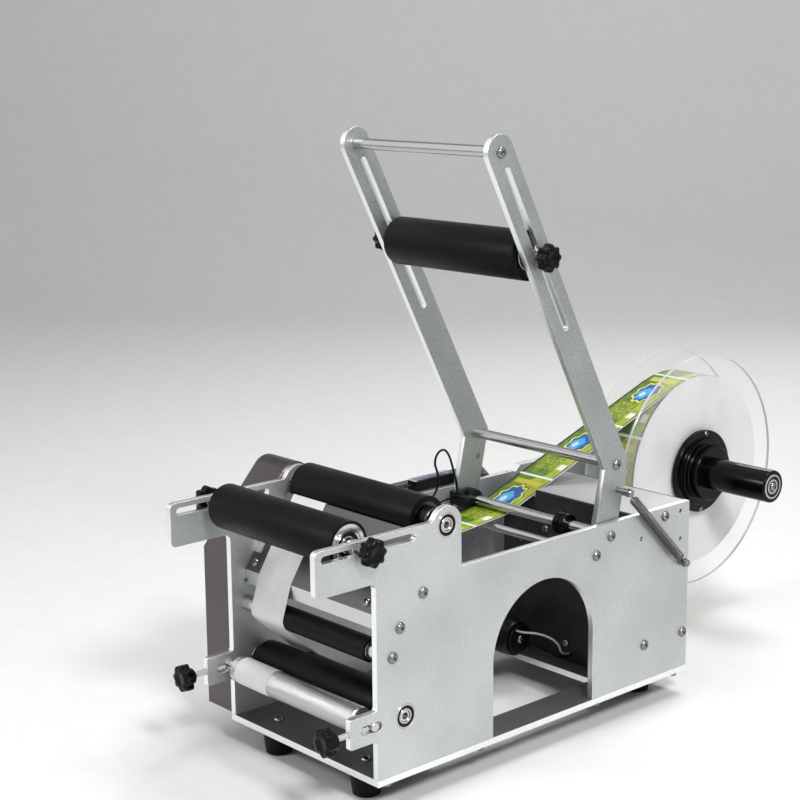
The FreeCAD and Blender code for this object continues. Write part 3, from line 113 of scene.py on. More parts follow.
def settle(name, mesh, body, *stands_for, sharp=35):
    """Put a finished mesh into the scene, on its body, in place of the CAD nodes that it stands for."""
    mesh.shade_smooth()
    mesh.set_sharp_from_angle(angle=math.radians(sharp))
    made = bpy.data.objects.new(name, mesh)
    bpy.context.scene.collection.objects.link(made)
    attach(made, body)
    if stands_for:
        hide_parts(*stands_for)
    print(name, "on", body, len(mesh.polygons), "faces")
    return made


def turn(shape, finish, profile, point=(0, 0, 0), axis=(1, 0, 0), steps=72, ring=True):
    """Spin (along, radius) pairs about an axis. A ring joins its last pair to its first."""
    place = Matrix.Translation(point) @ Vector(axis).to_track_quat("Z", "Y").to_matrix().to_4x4()
    verts, rows = [], []
    for along, r in profile:
        if r == 0:
            rows.append([len(verts)] * steps)
            verts.append(place @ Vector((0, 0, along)))
            continue
        rows.append(range(len(verts), len(verts) + steps))
        for k in range(steps):
            a = 2 * math.pi * k / steps
            verts.append(place @ Vector((r * math.cos(a), r * math.sin(a), along)))
    faces, surface, travel = [], [], 0.0
    for i in range(len(profile) if ring else len(profile) - 1):
        j = (i + 1) % len(profile)
        step = math.dist(profile[i], profile[j])
        arc = max(profile[i][1], profile[j][1]) * 2 * math.pi / steps
        for k in range(steps):
            m = (k + 1) % steps
            corners = [(rows[i][k], k, 0), (rows[i][m], k + 1, 0), (rows[j][m], k + 1, step),
                       (rows[j][k], k, step)]
            if profile[i][1] == 0:
                corners.pop(1)
            if profile[j][1] == 0:
                corners.pop(2)
            faces.append([c[0] for c in corners])
            surface.append([(c[1] * arc, travel + c[2]) for c in corners])
        travel += step
    shape.grow(verts, faces, finish, surface)


def rod(shape, finish, x0, x1, at, r, ease=0.4, steps=48):
    """Solid bar along X with eased ends."""
    turn(shape, finish, [(x0, 0), (x0, r - ease), (x0 + ease, r), (x1 - ease, r), (x1, r - ease), (x1, 0)],
         (0, *at), steps=steps, ring=False)


def tube(shape, finish, x0, x1, at, r, bore, ease=0.4, steps=72):
    """Hollow bar along X with eased outer ends."""
    turn(shape, finish, [(x0, bore), (x0, r - ease), (x0 + ease, r), (x1 - ease, r), (x1, r - ease),
                         (x1, bore)],
         (0, *at), steps=steps)


# %% [markdown]
# Finishes come next. A shader is a small tree of nodes, and the same few calls build them all: one adds
# a node and joins its inputs, one does sums, and one mixes two colours. Object coordinates are metres
# from the scene's origin, and the pieces never leave that frame, so a noise of scale 1000 has grains of
# about a millimetre on every piece.

# %% Calls that build shader trees
def add_node(tree, kind, inputs=(), **settings):
    made = tree.nodes.new(kind)
    for key, value in settings.items():
        setattr(made, key, value)
    for key, value in dict(inputs).items():
        if isinstance(value, bpy.types.NodeSocket):
            tree.links.new(value, made.inputs[key])
        else:
            made.inputs[key].default_value = value
    return made


def calc(tree, what, *values):
    return add_node(tree, "ShaderNodeMath", dict(enumerate(values)), operation=what).outputs[0]


def mixed(tree, factor, a, b):
    return add_node(tree, "ShaderNodeMix", {0: factor, 6: a, 7: b}, data_type="RGBA").outputs[2]


def rgb(r, g, b):
    return (r, g, b, 1.0)


def coordinates(tree, stretch=(1, 1, 1)):
    place = add_node(tree, "ShaderNodeTexCoord").outputs["Object"]
    return add_node(tree, "ShaderNodeMapping", {"Vector": place, "Scale": stretch}).outputs[0]


def noise(tree, where, scale, detail=3.0, rough=0.6):
    return add_node(tree, "ShaderNodeTexNoise", {"Vector": where, "Scale": scale, "Detail": detail,
                                                 "Roughness": rough}).outputs[0]


def spread(tree, value, low, high, to_low, to_high):
    return add_node(tree, "ShaderNodeMapRange", {0: value, 1: low, 2: high, 3: to_low, 4: to_high}).outputs[0]


def bumped(tree, height, strength, distance):
    return add_node(tree, "ShaderNodeBump", {"Height": height, "Strength": strength,
                                             "Distance": distance}).outputs[0]


# %% [markdown]
# Most of the machine is one of two kinds of surface. Metal is bead-blasted, ground or brushed: its
# colour and its roughness change a little from grain to grain, and brushing stretches the grain along
# one direction. Plastic and rubber keep a dark even colour with a faint dusty bloom and a soft bump.

# %% Metal and plastic finishes
def metal(name, colour, rough, grain=900.0, relief=0.00004, brushed=(1, 1, 1), speckle=0.1, bare=1.0):
    made = bpy.data.materials.new(name)
    made.use_nodes = True
    tree = made.node_tree
    shader = tree.nodes["Principled BSDF"]
    where = coordinates(tree, brushed)
    fine = noise(tree, where, grain)
    broad = noise(tree, coordinates(tree), 9.0, 2.0)
    dark = rgb(*(c * (1 - speckle) for c in colour))
    light = rgb(*(min(1.0, c * (1 + speckle)) for c in colour))
    tone = spread(tree, calc(tree, "ADD", fine, calc(tree, "MULTIPLY", broad, 0.5)), 0.45, 1.05, 0.0, 1.0)
    tree.links.new(mixed(tree, tone, dark, light), shader.inputs["Base Color"])
    tree.links.new(spread(tree, fine, 0.3, 0.7, rough * 0.85, rough * 1.15), shader.inputs["Roughness"])
    tree.links.new(bumped(tree, fine, 0.5, relief), shader.inputs["Normal"])
    shader.inputs["Metallic"].default_value = bare
    return made


def plastic(name, colour, rough, grain=1200.0, relief=0.00003, bloom=0.015, gloss=0.5):
    made = bpy.data.materials.new(name)
    made.use_nodes = True
    tree = made.node_tree
    shader = tree.nodes["Principled BSDF"]
    where = coordinates(tree)
    fine = noise(tree, where, grain)
    cloud = noise(tree, where, 60.0, 5.0, 0.7)
    dusty = rgb(*(c + bloom for c in colour))
    tree.links.new(mixed(tree, spread(tree, cloud, 0.45, 0.75, 0.0, 1.0), rgb(*colour), dusty),
                   shader.inputs["Base Color"])
    tree.links.new(spread(tree, cloud, 0.3, 0.7, rough * 0.85, rough * 1.2), shader.inputs["Roughness"])
    tree.links.new(bumped(tree, fine, 0.4, relief), shader.inputs["Normal"])
    shader.inputs["Specular IOR Level"].default_value = gloss
    return made


blasted = metal("bead_blasted_aluminium", (0.52, 0.54, 0.545), 0.5, 1000, 0.00012, speckle=0.3, bare=0.8)
arm_blasted = metal("blasted_arm_aluminium", (0.36, 0.385, 0.385), 0.46, 900, 0.00014, speckle=0.35,
                    bare=0.85)
# painted shade: the base plate gets a much darker copy of the plates' aluminium for the shade that lies on it
base_painted_shade = metal("base_aluminium_painted_shade", (0.14, 0.138, 0.14), 0.5, 900, 0.00008, speckle=0.3, bare=0.7)
# painted highlight: the cut edges of plates, arms, base and reel arm get a near-white copy of the aluminium
# for the light they catch
edge_painted_highlight = metal("aluminium_edge_painted_highlight", (0.90, 0.91, 0.92), 0.3, 700, 0.00002, (12, 1, 1), 0.05)
bright_metal = metal("turned_aluminium", (0.62, 0.62, 0.63), 0.22, 500, 0.00001, speckle=0.08)
knurl_metal = metal("knurled_aluminium", (0.46, 0.46, 0.465), 0.2, 600, 0.00002, speckle=0.12)
ground_steel = metal("ground_steel", (0.54, 0.53, 0.53), 0.16, 400, 0.00001, (0.2, 6, 6), 0.1)
polished_steel = metal("polished_screw_steel", (0.24, 0.235, 0.23), 0.12, 300, 0.000005, speckle=0.1)
ring_steel = metal("bearing_ring_steel", (0.48, 0.47, 0.46), 0.12, 300, 0.000005, speckle=0.06)
# dark steel for the rear collar, two roller cores and the reel spindle; it also paints the shade inside the
# shafts' centre holes
dark_steel_and_painted_shade = metal("oiled_dark_steel_and_painted_shade", (0.07, 0.07, 0.07), 0.3, 400, 0.00001, speckle=0.1)
spring_steel = metal("spring_wire", (0.14, 0.135, 0.13), 0.16, 500, 0.00001, speckle=0.1)
cover_steel = metal("brushed_cover_sheet", (0.115, 0.104, 0.108), 0.36, 260, 0.00003, (1, 1, 14), 0.3)
# painted shade: the peel sheet's slope and edges get a dark copy of the sheet for the shade under the rollers
painted_shade_peel_steel = metal("peel_sheet_painted_shade", (0.13, 0.125, 0.125), 0.3, 300, 0.00002, (1, 14, 14), 0.2)
folded_steel = metal("folded_flange_sheet", (0.62, 0.63, 0.63), 0.34, 500, 0.00004, (1, 6, 6), 0.1)
roller_rubber = plastic("roller_rubber", (0.004, 0.0045, 0.0055), 0.42, 2200, 0.00006, 0.004, 0.09)
foot_rubber = plastic("foot_rubber", (0.003, 0.003, 0.0035), 0.4, 1800, 0.00008, 0.003, 0.12)
belt_rubber = plastic("belt_rubber", (0.008, 0.008, 0.008), 0.6, 2500, 0.0001, 0.008, 0.12)
knob_plastic = plastic("glossy_knob_plastic", (0.0015, 0.0015, 0.002), 0.09, 700, 0.00001, 0.001, 0.14)
hub_plastic = plastic("hub_plastic", (0.002, 0.002, 0.0025), 0.16, 900, 0.00002, 0.002, 0.14)
sensor_plastic = plastic("sensor_plastic", (0.004, 0.004, 0.006), 0.3, 1600, 0.00004, 0.004, 0.16)
seal_rubber = plastic("bearing_seal", (0.003, 0.003, 0.003), 0.35, 1500, 0.00002, 0.003, 0.15)
motor_black = plastic("motor_enamel", (0.005, 0.005, 0.006), 0.3, 1100, 0.00004, 0.004, 0.2)
# painted shade: the box's forward- and backward-facing faces get a near-black finish for the shade on them,
# while its top and sides get the light sheet
painted_shade_box_front = plastic("box_front_painted_shade", (0.030, 0.027, 0.027), 0.42, 1700, 0.00008, 0.018, 0.2)
box_top = metal("box_top_sheet", (0.40, 0.40, 0.405), 0.4, 1200, 0.00004, speckle=0.2, bare=0.8)
black_jacket = plastic("black_lead_jacket", (0.003, 0.003, 0.003), 0.35, 900, 0.00001, 0.003, 0.15)
white_jacket = plastic("white_lead_jacket", (0.70, 0.70, 0.68), 0.4, 900, 0.00001, 0.04)
circuit_green = plastic("circuit_board", (0.012, 0.10, 0.045), 0.4, 500, 0.0001, 0.05)
display_blue = plastic("display_window", (0.05, 0.10, 0.24), 0.2, 700, 0.00001, 0.04)
white_key = plastic("white_key_plastic", (0.66, 0.67, 0.68), 0.35, 900, 0.00001, 0.04)
print(len(bpy.data.materials), "finishes")

# %% [markdown]
# Paper needs three finishes: the white backing, the printed face of the labels, and the side of the
# roll, where hundreds of edges show as faint rings. The print is a plain design of its own: a green
# ground with a lighter wave, a blue badge with a yellow rim and rows of small yellow blocks, between a
# white gap and dark margins. All of it is worked out from the distance across and along the web.

# %% Paper finishes
LABEL_PITCH = 110.0
LABEL_GAP = 3.0
WEB_X0 = -75.0
WEB_X1 = -30.0


def paper(name, colour):
    made = bpy.data.materials.new(name)
    made.use_nodes = True
    tree = made.node_tree
    shader = tree.nodes["Principled BSDF"]
    where = coordinates(tree)
    fibre = noise(tree, where, 1400, 4.0)
    shade = noise(tree, where, 35, 3.0)
    darker = rgb(*(c * 0.9 for c in colour))
    tree.links.new(mixed(tree, spread(tree, shade, 0.35, 0.65, 0, 1), darker, rgb(*colour)),
                   shader.inputs["Base Color"])
    tree.links.new(bumped(tree, fibre, 0.4, 0.00002), shader.inputs["Normal"])
    shader.inputs["Roughness"].default_value = 0.5
    return made, tree, shader


def surface_axes(tree):
    """Distance across and along the surface, in millimetres."""
    where = add_node(tree, "ShaderNodeAttribute", attribute_name="surface").outputs["Vector"]
    split = add_node(tree, "ShaderNodeSeparateXYZ", {0: where})
    return where, split.outputs[0], split.outputs[1]


def inside(tree, value, low, high):
    """1 where a value lies between two limits, else 0."""
    return calc(tree, "MULTIPLY", calc(tree, "GREATER_THAN", value, low),
                calc(tree, "LESS_THAN", value, high))


def badge(tree, across, along, at_across, at_along, radius, waves):
    """1 inside a round badge with a scalloped rim."""
    dx = calc(tree, "SUBTRACT", across, at_across)
    dy = calc(tree, "MULTIPLY", calc(tree, "SUBTRACT", along, at_along), 0.62)
    reach = calc(tree, "SQRT", calc(tree, "ADD", calc(tree, "MULTIPLY", dx, dx),
                                    calc(tree, "MULTIPLY", dy, dy)))
    angle = calc(tree, "ARCTAN2", dy, dx)
    ripple = calc(tree, "MULTIPLY", calc(tree, "SINE", calc(tree, "MULTIPLY", angle, waves)), radius * 0.09)
    return calc(tree, "LESS_THAN", calc(tree, "ADD", reach, ripple), radius)


def printed_labels():
    made, tree, shader = paper("printed_labels", (0.80, 0.80, 0.78))
    _, across, travelled = surface_axes(tree)
    along = calc(tree, "MULTIPLY", calc(tree, "FRACT", calc(tree, "DIVIDE", travelled, LABEL_PITCH)),
                 LABEL_PITCH)
    wave = calc(tree, "MULTIPLY", calc(tree, "SINE", calc(tree, "MULTIPLY", along, 0.11)), 6.0)
    cloud = noise(tree, coordinates(tree), 160, 4.0, 0.7)
    mottle = spread(tree, cloud, 0.38, 0.62, 0.0, 1.0)
    ground = mixed(tree, calc(tree, "GREATER_THAN", calc(tree, "ADD", across, wave), 4.0),
                   mixed(tree, mottle, rgb(0.04, 0.13, 0.012), rgb(0.16, 0.27, 0.02)),
                   mixed(tree, mottle, rgb(0.22, 0.33, 0.02), rgb(0.42, 0.45, 0.05)))
    brick = add_node(tree, "ShaderNodeTexBrick", {
        "Vector": add_node(tree, "ShaderNodeCombineXYZ", {0: along, 1: across}).outputs[0], "Scale": 1.0,
        "Color1": rgb(0.60, 0.56, 0.05), "Color2": rgb(0.05, 0.14, 0.015), "Mortar": rgb(0.16, 0.26, 0.02),
        "Mortar Size": 0.5, "Brick Width": 4.2, "Row Height": 2.4, "Bias": 0.1}).outputs[0]
    rows = calc(tree, "MULTIPLY", inside(tree, along, 66.0, 98.0), inside(tree, across, -16.0, 8.0))
    colour = mixed(tree, rows, ground, brick)
    block = calc(tree, "MULTIPLY", inside(tree, along, 10.0, 18.0), inside(tree, across, -17.0, 16.0))
    colour = mixed(tree, block, colour, rgb(0.55, 0.50, 0.03))
    square = calc(tree, "MULTIPLY", inside(tree, along, 84.0, 94.0), inside(tree, across, 10.5, 18.0))
    colour = mixed(tree, square, colour, rgb(0.75, 0.75, 0.72))
    colour = mixed(tree, badge(tree, across, along, -1.0, 42.0, 14.5, 9), colour, rgb(0.03, 0.05, 0.03))
    colour = mixed(tree, badge(tree, across, along, -1.0, 42.0, 13.5, 9), colour, rgb(0.70, 0.66, 0.08))
    colour = mixed(tree, badge(tree, across, along, -1.0, 42.0, 11.5, 9), colour, rgb(0.012, 0.10, 0.34))
    colour = mixed(tree, badge(tree, across, along, -3.0, 45.0, 7.0, 5), colour, rgb(0.07, 0.36, 0.62))
    colour = mixed(tree, badge(tree, across, along, -4.0, 47.0, 3.0, 4), colour, rgb(0.50, 0.66, 0.72))
    margin = calc(tree, "GREATER_THAN", calc(tree, "ABSOLUTE", across), 19.8)
    colour = mixed(tree, margin, colour, rgb(0.015, 0.018, 0.012))
    gap = calc(tree, "LESS_THAN", along, LABEL_GAP)
    colour = mixed(tree, gap, colour, rgb(0.80, 0.80, 0.78))
    rim = calc(tree, "GREATER_THAN", across, 21.4)
    colour = mixed(tree, rim, colour, rgb(0.72, 0.72, 0.68))
    tree.links.new(colour, shader.inputs["Base Color"])
    shader.inputs["Roughness"].default_value = 0.28
    return made


def roll_side():
    made, tree, shader = paper("label_roll_side", (0.80, 0.80, 0.79))
    _, _, radial = surface_axes(tree)
    rings = add_node(tree, "ShaderNodeTexNoise", {"W": radial, "Scale": 2.2, "Detail": 4.0},
                     noise_dimensions="1D").outputs[0]
    smudge = noise(tree, coordinates(tree), 22, 5.0, 0.65)
    tone = calc(tree, "MULTIPLY", spread(tree, rings, 0.3, 0.7, 0.93, 1.0),
                spread(tree, smudge, 0.5, 0.72, 1.0, 0.82))
    tree.links.new(mixed(tree, tone, rgb(0.32, 0.31, 0.33), rgb(0.86, 0.855, 0.86)),
                   shader.inputs["Base Color"])
    tree.links.new(bumped(tree, rings, 0.5, 0.0001), shader.inputs["Normal"])
    return made


def clear_acrylic(name, tint, rough, cover):
    """Thin clear sheet: light and shadow pass straight through, and cover is how much haze it shows."""
    made = bpy.data.materials.new(name)
    made.use_nodes = True
    tree = made.node_tree
    shader = tree.nodes["Principled BSDF"]
    haze = noise(tree, coordinates(tree), 40, 4.0)
    tree.links.new(spread(tree, haze, 0.35, 0.65, rough * 0.6, rough * 1.4), shader.inputs["Roughness"])
    tree.links.new(mixed(tree, haze, rgb(*(c * 0.95 for c in tint)), rgb(*tint)), shader.inputs["Base Color"])
    shader.inputs["Alpha"].default_value = cover
    shader.inputs["IOR"].default_value = 1.49
    made.surface_render_method = "BLENDED"
    return made


label_print = printed_labels()
liner_white = paper("backing_paper", (0.78, 0.78, 0.77))[0]
core_card = paper("core_cardboard", (0.36, 0.25, 0.15))[0]
roll_paper = roll_side()
acrylic = clear_acrylic("clear_acrylic", (0.90, 0.91, 0.91), 0.06, 0.12)
acrylic_edge = clear_acrylic("acrylic_edge", (0.62, 0.66, 0.65), 0.25, 0.85)
lid_clear = clear_acrylic("amplifier_lid", (0.20, 0.25, 0.36), 0.06, 0.35)
print("paper and acrylic ready")

# %% [markdown]
# The sheet and plate pieces are right as they come from the CAD, but their corners are razor sharp and a
# real edge catches the light. A copy of each node is merged, because its mesh is loose triangles, its
# flat faces are joined, and a Bevel modifier eases every corner by a few tenths of a millimetre.

# %% Ease the edges of plates, arms and sheet pieces
def eased(node, body, width, face_finish, edge_finish=None, flat=0, name=None):
    """A bevelled copy of a CAD node; faces that don't look along axis flat get the edge's finish."""
    source = bmesh.new()
    source.from_mesh(nodes[node].data)
    bmesh.ops.remove_doubles(source, verts=source.verts, dist=2e-6)
    bmesh.ops.dissolve_limit(source, angle_limit=math.radians(0.5), verts=source.verts, edges=source.edges)
    mesh = bpy.data.meshes.new(name or node + "_eased")
    source.to_mesh(mesh)
    source.free()
    mesh.materials.clear()
    mesh.materials.append(face_finish)
    if edge_finish:
        mesh.materials.append(edge_finish)
    for face in mesh.polygons:
        face.material_index = 1 if edge_finish and abs(face.normal[flat]) < 0.5 else 0
    made = settle(mesh.name, mesh, body, node)
    bevel = made.modifiers.new("ease", "BEVEL")
    bevel.width, bevel.segments, bevel.limit_method = width / 1000, 2, "ANGLE"
    bevel.angle_limit = math.radians(38)
    bevel.use_clamp_overlap = False
    bevel.harden_normals = True
    return made


for node, body, width in (("right_side_plate", "frame", 0.35), ("left_side_plate", "frame", 0.35),
                          ("right_swing_arm", "swing_frame", 0.4), ("left_swing_arm", "swing_frame", 0.4)):
    eased(node, body, width, arm_blasted if body == "swing_frame" else blasted, edge_painted_highlight, 0)
eased("base_plate", "frame", 0.35, base_painted_shade, edge_painted_highlight, 2)
eased("reel_arm", "frame", 0.35, blasted, edge_painted_highlight, 0)
peel = eased("peel_plate", "frame", 0.2, painted_shade_peel_steel).data
# the flange faces keep the sheet's light colour; all its other faces carry the painted shade
peel.materials.append(folded_steel)
for face in peel.polygons:
    face.material_index = 1 if abs(face.normal.y) > 0.9 else 0
eased("peel_plate_brackets", "frame", 0.3, blasted)
eased("side_cover", "frame", 0.3, cover_steel)
# the box's front and back faces, and its back plate, carry the painted shade; its other faces carry the light
# sheet
eased("electronics_box", "frame", 0.3, painted_shade_box_front, box_top, 1)
eased("box_back_plate", "frame", 0.3, painted_shade_box_front)
eased("sensor_head", "frame", 0.3, sensor_plastic)
eased("power_inlet", "frame", 0.3, hub_plastic)
eased("rocker_switch", "rocker", 0.3, knob_plastic)
for node, its_finish in (("control_electronics", circuit_green), ("drive_belts", belt_rubber),
                         ("motor_pulley", bright_metal), ("traction_pulleys", bright_metal),
                         ("rear_roller_pulley", bright_metal)):
    nodes[node].data.materials.clear()
    nodes[node].data.materials.append(its_finish)

# %% [markdown]
# Each side plate holds two ball bearings, and more sit in the ends of the rollers. What shows of one is
# a bright outer ring, a black seal set a little deeper, and a bright inner ring round the shaft.

# %% Ball bearings and plain rods
REAR = (79.2, 209.5)
FRONT = (-12.0, 207.0)
TRACTION = (31.1, 54.6)
GUIDE = (17.1, 109.1)
MOTOR = (281.0, 31.0)
PIVOT = (284.5, 158.0)
WEB_ROD = (25.6, 132.9)
STOP = (264.9, 143.6)
REEL = (571.5, 146.0)
PINCH = (-2.0, 54.2)
SHAFT_R = 5.0              # shafts, pivot and web rod
GUIDE_R = 10.5
TRACTION_R = 20.5
SLOPE = math.radians(57.9)
SLOPE_FOOT = (16.0, 140.5)
PEEL_REACH = 76.5          # up the peel slope to the middle of its rounded edge
EDGE_TURN = 1.2            # radius of the web round that edge


def bearing(shape, x0, x1, at, r, bore):
    wall = (r - bore) * 0.28
    tube(shape, ring_steel, x0, x1, at, r, r - wall, 0.3)
    tube(shape, seal_rubber, x0 + 0.5, x1 - 0.5, at, r - wall, bore + wall, 0.05)
    turn(shape, ring_steel, [(x0, bore), (x0, bore + wall - 0.3), (x0 + 0.3, bore + wall),
                             (x1 - 0.3, bore + wall), (x1, bore + wall - 0.3), (x1, bore)], (0, *at))


def both(make, shape, x0, x1, *rest):
    """The same turned piece on the right and, mirrored, on the left."""
    make(shape, x0, x1, *rest)
    make(shape, -x1, -x0, *rest)


plate_bearings = Shape()
for at in (REAR, TRACTION):
    both(bearing, plate_bearings, PLATE_IN, PLATE_OUT, at, 11.0, 5.05)
both(bearing, plate_bearings, 71.0, 76.0, GUIDE, 8.0, 5.05)
plate_bearings.make("plate_bearings", "frame", "frame_bearings")

frame_rods = Shape()
for at, r in ((WEB_ROD, SHAFT_R), (STOP, 4.0), (PIVOT, SHAFT_R), (GUIDE, SHAFT_R)):
    rod(frame_rods, ground_steel, -PLATE_IN, PLATE_IN, at, r, 0.3)
for side in (-1, 1):
    tube(frame_rods, bright_metal, *sorted((side * 76.3, side * PLATE_IN)), GUIDE, 7.0, 5.0)
frame_rods.make("frame_rods", "frame", "cross_rods")

arm_bars = Shape()
ARM_BEND, ARM_TOP = (298.5, 221.5), (148.0, 512.0)
for at in (ARM_BEND, ARM_TOP):
    rod(arm_bars, ground_steel, -88.0, 88.0, at, 5.0, 0.3)
arm_bars.make("handle_and_tie_rod", "swing_frame", "arm_rods")

# %% [markdown]
# The rollers that touch bottles and labels wear a black rubber sleeve on an aluminium core. The rubber
# is ground, so its corner is small and crisp, and the core shows as a ring round the bearing.

# %% Rubber rollers
def rubber_roller(name, body, node, at, x0, x1, r, bore, core_finish, core=17.5, recess=0.0):
    """Rubber sleeve on a core; a recess in the core's ends leaves room for bearings."""
    roller = Shape()
    turn(roller, roller_rubber, [(x0, core), (x0, r - 0.8), (x0 + 0.25, r - 0.25), (x0 + 0.8, r),
                                 (x1 - 0.8, r),
                                 (x1 - 0.25, r - 0.25), (x1, r - 0.8), (x1, core)], (0, *at), steps=96)
    if recess:
        profile = [(x0 + 0.3, core), (x0 + 0.3, 13.8), (x0 + 0.8, 13.1), (x0 + recess, 13.1),
                   (x0 + recess, bore),
                   (x1 - recess, bore), (x1 - recess, 13.1), (x1 - 0.8, 13.1), (x1 - 0.3, 13.8),
                   (x1 - 0.3, core)]
    else:
        profile = [(x0 + 0.3, core), (x0 + 0.3, bore), (x1 - 0.3, bore), (x1 - 0.3, core)]
    turn(roller, core_finish, profile, (0, *at), steps=96)
    return roller.make(name, body, node)


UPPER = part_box("upper_roller")
UPPER_AT = tuple(((UPPER[0] + UPPER[1]) / 2 - origin)[i] * 1000 for i in (1, 2))
rubber_roller("front_rubber_roller", "front_roller_body", "front_roller", FRONT, -82.0, 82.0, 20.0, 7.0,
              bright_metal, 17.2, 8.3)
rubber_roller("upper_rubber_roller", "upper_roller_body", "upper_roller", UPPER_AT, -82.0, 82.0, 22.0, 7.0,
              dark_steel_and_painted_shade, 19.0, 8.3)
rubber_roller("rear_rubber_roller", "rear_roller_set", "rear_roller", REAR, -84.0, 76.0, 20.0, 5.0,
              dark_steel_and_painted_shade, 15.0)
rubber_roller("traction_rubber_roller", "traction_roller_set", "traction_roller", TRACTION, -32.5, 85.0,
              TRACTION_R, SHAFT_R, bright_metal, 16.0)
guide = Shape()
tube(guide, roller_rubber, -76.0, 76.0, GUIDE, GUIDE_R, 8.05, 0.5)
guide.make("guide_roller_tube", "guide_roller_body", "guide_roller")

# %% [markdown]
# Shafts and axles join the rollers to the plates: a collar on the rear shaft, plain
# sleeves beside the traction rubber, and studs, washers and spacers on the two axles that can be
# clamped anywhere along their slots.

# %% Shafts, sleeves and clamped axles
def centred_shaft(shape, at):
    """Shaft with eased ends and the conical hole that the lathe's centre leaves, painted dark for the shade
    inside it.
    """
    turn(shape, ground_steel, [(-133.5, 0), (-133.5, 4.6), (-133.1, 5), (99.8, 5), (100.2, 4.6),
                               (100.2, 3.0)], (0, *at),
         steps=48, ring=False)
    # painted shade: the centre hole is dark steel
    turn(shape, dark_steel_and_painted_shade, [(100.2, 3.0), (97.2, 0.8), (96.4, 0)], (0, *at), steps=48, ring=False)


rear_shaft = Shape()
centred_shaft(rear_shaft, REAR)
turn(rear_shaft, dark_steel_and_painted_shade, [(77.5, 5), (77.5, 11.4), (78.1, 12), (79.4, 12), (79.4, 11), (81, 11),
                              (81, 12), (82.6, 12), (82.6, 11),
                              (84.2, 11), (84.2, 12), (86.4, 12), (87, 11.4), (87, 5)], (0, *REAR), steps=72)
rear_shaft.make("rear_shaft_and_collar", "rear_roller_set", "rear_roller_shaft")
traction_shaft = Shape()
centred_shaft(traction_shaft, TRACTION)
tube(traction_shaft, roller_rubber, -75.5, -32.5, TRACTION, 18.0, 5.0, 0.5)
tube(traction_shaft, hub_plastic, -85.0, -76.0, TRACTION, 18.0, 5.0, 0.8)
traction_shaft.make("traction_shaft_and_sleeve", "traction_roller_set", "traction_shaft")
pinch_axle = Shape()
turn(pinch_axle, ground_steel, [(-101, 0), (-101, 3.6), (-100.6, 4), (-94.7, 4), (-94.7, 5), (94.7, 5),
                                (94.7, 4),
                                (100.6, 4), (101, 3.6), (101, 0)], (0, *PINCH), ring=False)
pinch_axle.make("pinch_roller_axle", "pinch_carriage", "pinch_axle")


def clamped_axle(name, body, node, at, half, bar, seat):
    """Axle with bearings and spacers inside the bars, washers and threaded studs outside them."""
    axle = Shape()
    reach = seat + 1.5 + 0.3 + 10.0
    rod(axle, ground_steel, -bar + 0.3, bar - 0.3, at, 5.0)
    both(bearing, axle, half - 8.0, half, at, 13.0, 5.0)
    for side in (-1, 1):
        tube(axle, bright_metal, *sorted((side * (half + 0.3), side * (bar - 0.3))), at, 6.5, 5.0)
        rod(axle, ground_steel, *sorted((side * (bar - 0.5), side * reach)), at, 3.0)
        tube(axle, polished_steel, *sorted((side * seat, side * (seat + 1.5))), at, 6.5, 3.0, 0.3)
    axle.make(name, body, node)
    return seat + 1.8


front_seat = clamped_axle("front_roller_axle", "front_carriage", "front_axle", FRONT, 82.0, 95.0, 101.3)
upper_seat = clamped_axle("upper_roller_axle", "upper_carriage", "upper_axle", UPPER_AT, 82.0, 88.0, 94.3)

# %% [markdown]
# The pinch roller's bright part is knurled: two sets of fine grooves wind round it in opposite
# directions and leave small diamonds. That is a shape that follows a rule, so Geometry Nodes make it: a
# flat grid is rolled into a tube, and each vertex is lifted by the lower of two zigzag waves.

# %% Knurled sleeve of the pinch roller
def geometry_tree(name, **sizes):
    tree = bpy.data.node_groups.new(name, "GeometryNodeTree")
    tree.interface.new_socket("Geometry", in_out="INPUT", socket_type="NodeSocketGeometry")
    tree.interface.new_socket("Finish", in_out="INPUT", socket_type="NodeSocketMaterial")
    for size, value in sizes.items():
        kind = "NodeSocketInt" if isinstance(value, int) else "NodeSocketFloat"
        tree.interface.new_socket(size.replace("_", " "), in_out="INPUT",
                                  socket_type=kind).default_value = value
    tree.interface.new_socket("Geometry", in_out="OUTPUT", socket_type="NodeSocketGeometry")
    return tree, tree.nodes.new("NodeGroupInput").outputs


def close_tree(tree, geometry, its_finish):
    """Every tree ends alike: instances become real faces, and the faces get their finish."""
    real = add_node(tree, "GeometryNodeRealizeInstances", {0: geometry}).outputs[0]
    shaded = add_node(tree, "GeometryNodeSetMaterial", {"Geometry": real, "Material": its_finish}).outputs[0]
    tree.links.new(shaded, tree.nodes.new("NodeGroupOutput").inputs[0])


def grown(name, tree, mesh, its_finish, **sizes):
    """Run a tree on a mesh and give back the plain mesh that it grows."""
    carrier = bpy.data.objects.new(name, mesh)
    bpy.context.scene.collection.objects.link(carrier)
    modifier = carrier.modifiers.new(name, "NODES")
    modifier.node_group = tree
    sockets = {s.name: s.identifier for s in tree.interface.items_tree if s.in_out == "INPUT"}
    modifier[sockets["Finish"]] = its_finish
    for size, value in sizes.items():
        modifier[sockets[size.replace("_", " ")]] = value
    seen = carrier.evaluated_get(bpy.context.evaluated_depsgraph_get())
    result = bpy.data.meshes.new_from_object(seen)
    carrier.modifiers.remove(modifier)
    bpy.data.objects.remove(carrier)
    result.name = name
    return result


def vector_part(tree, value, index):
    return add_node(tree, "ShaderNodeSeparateXYZ", {0: value}).outputs[index]


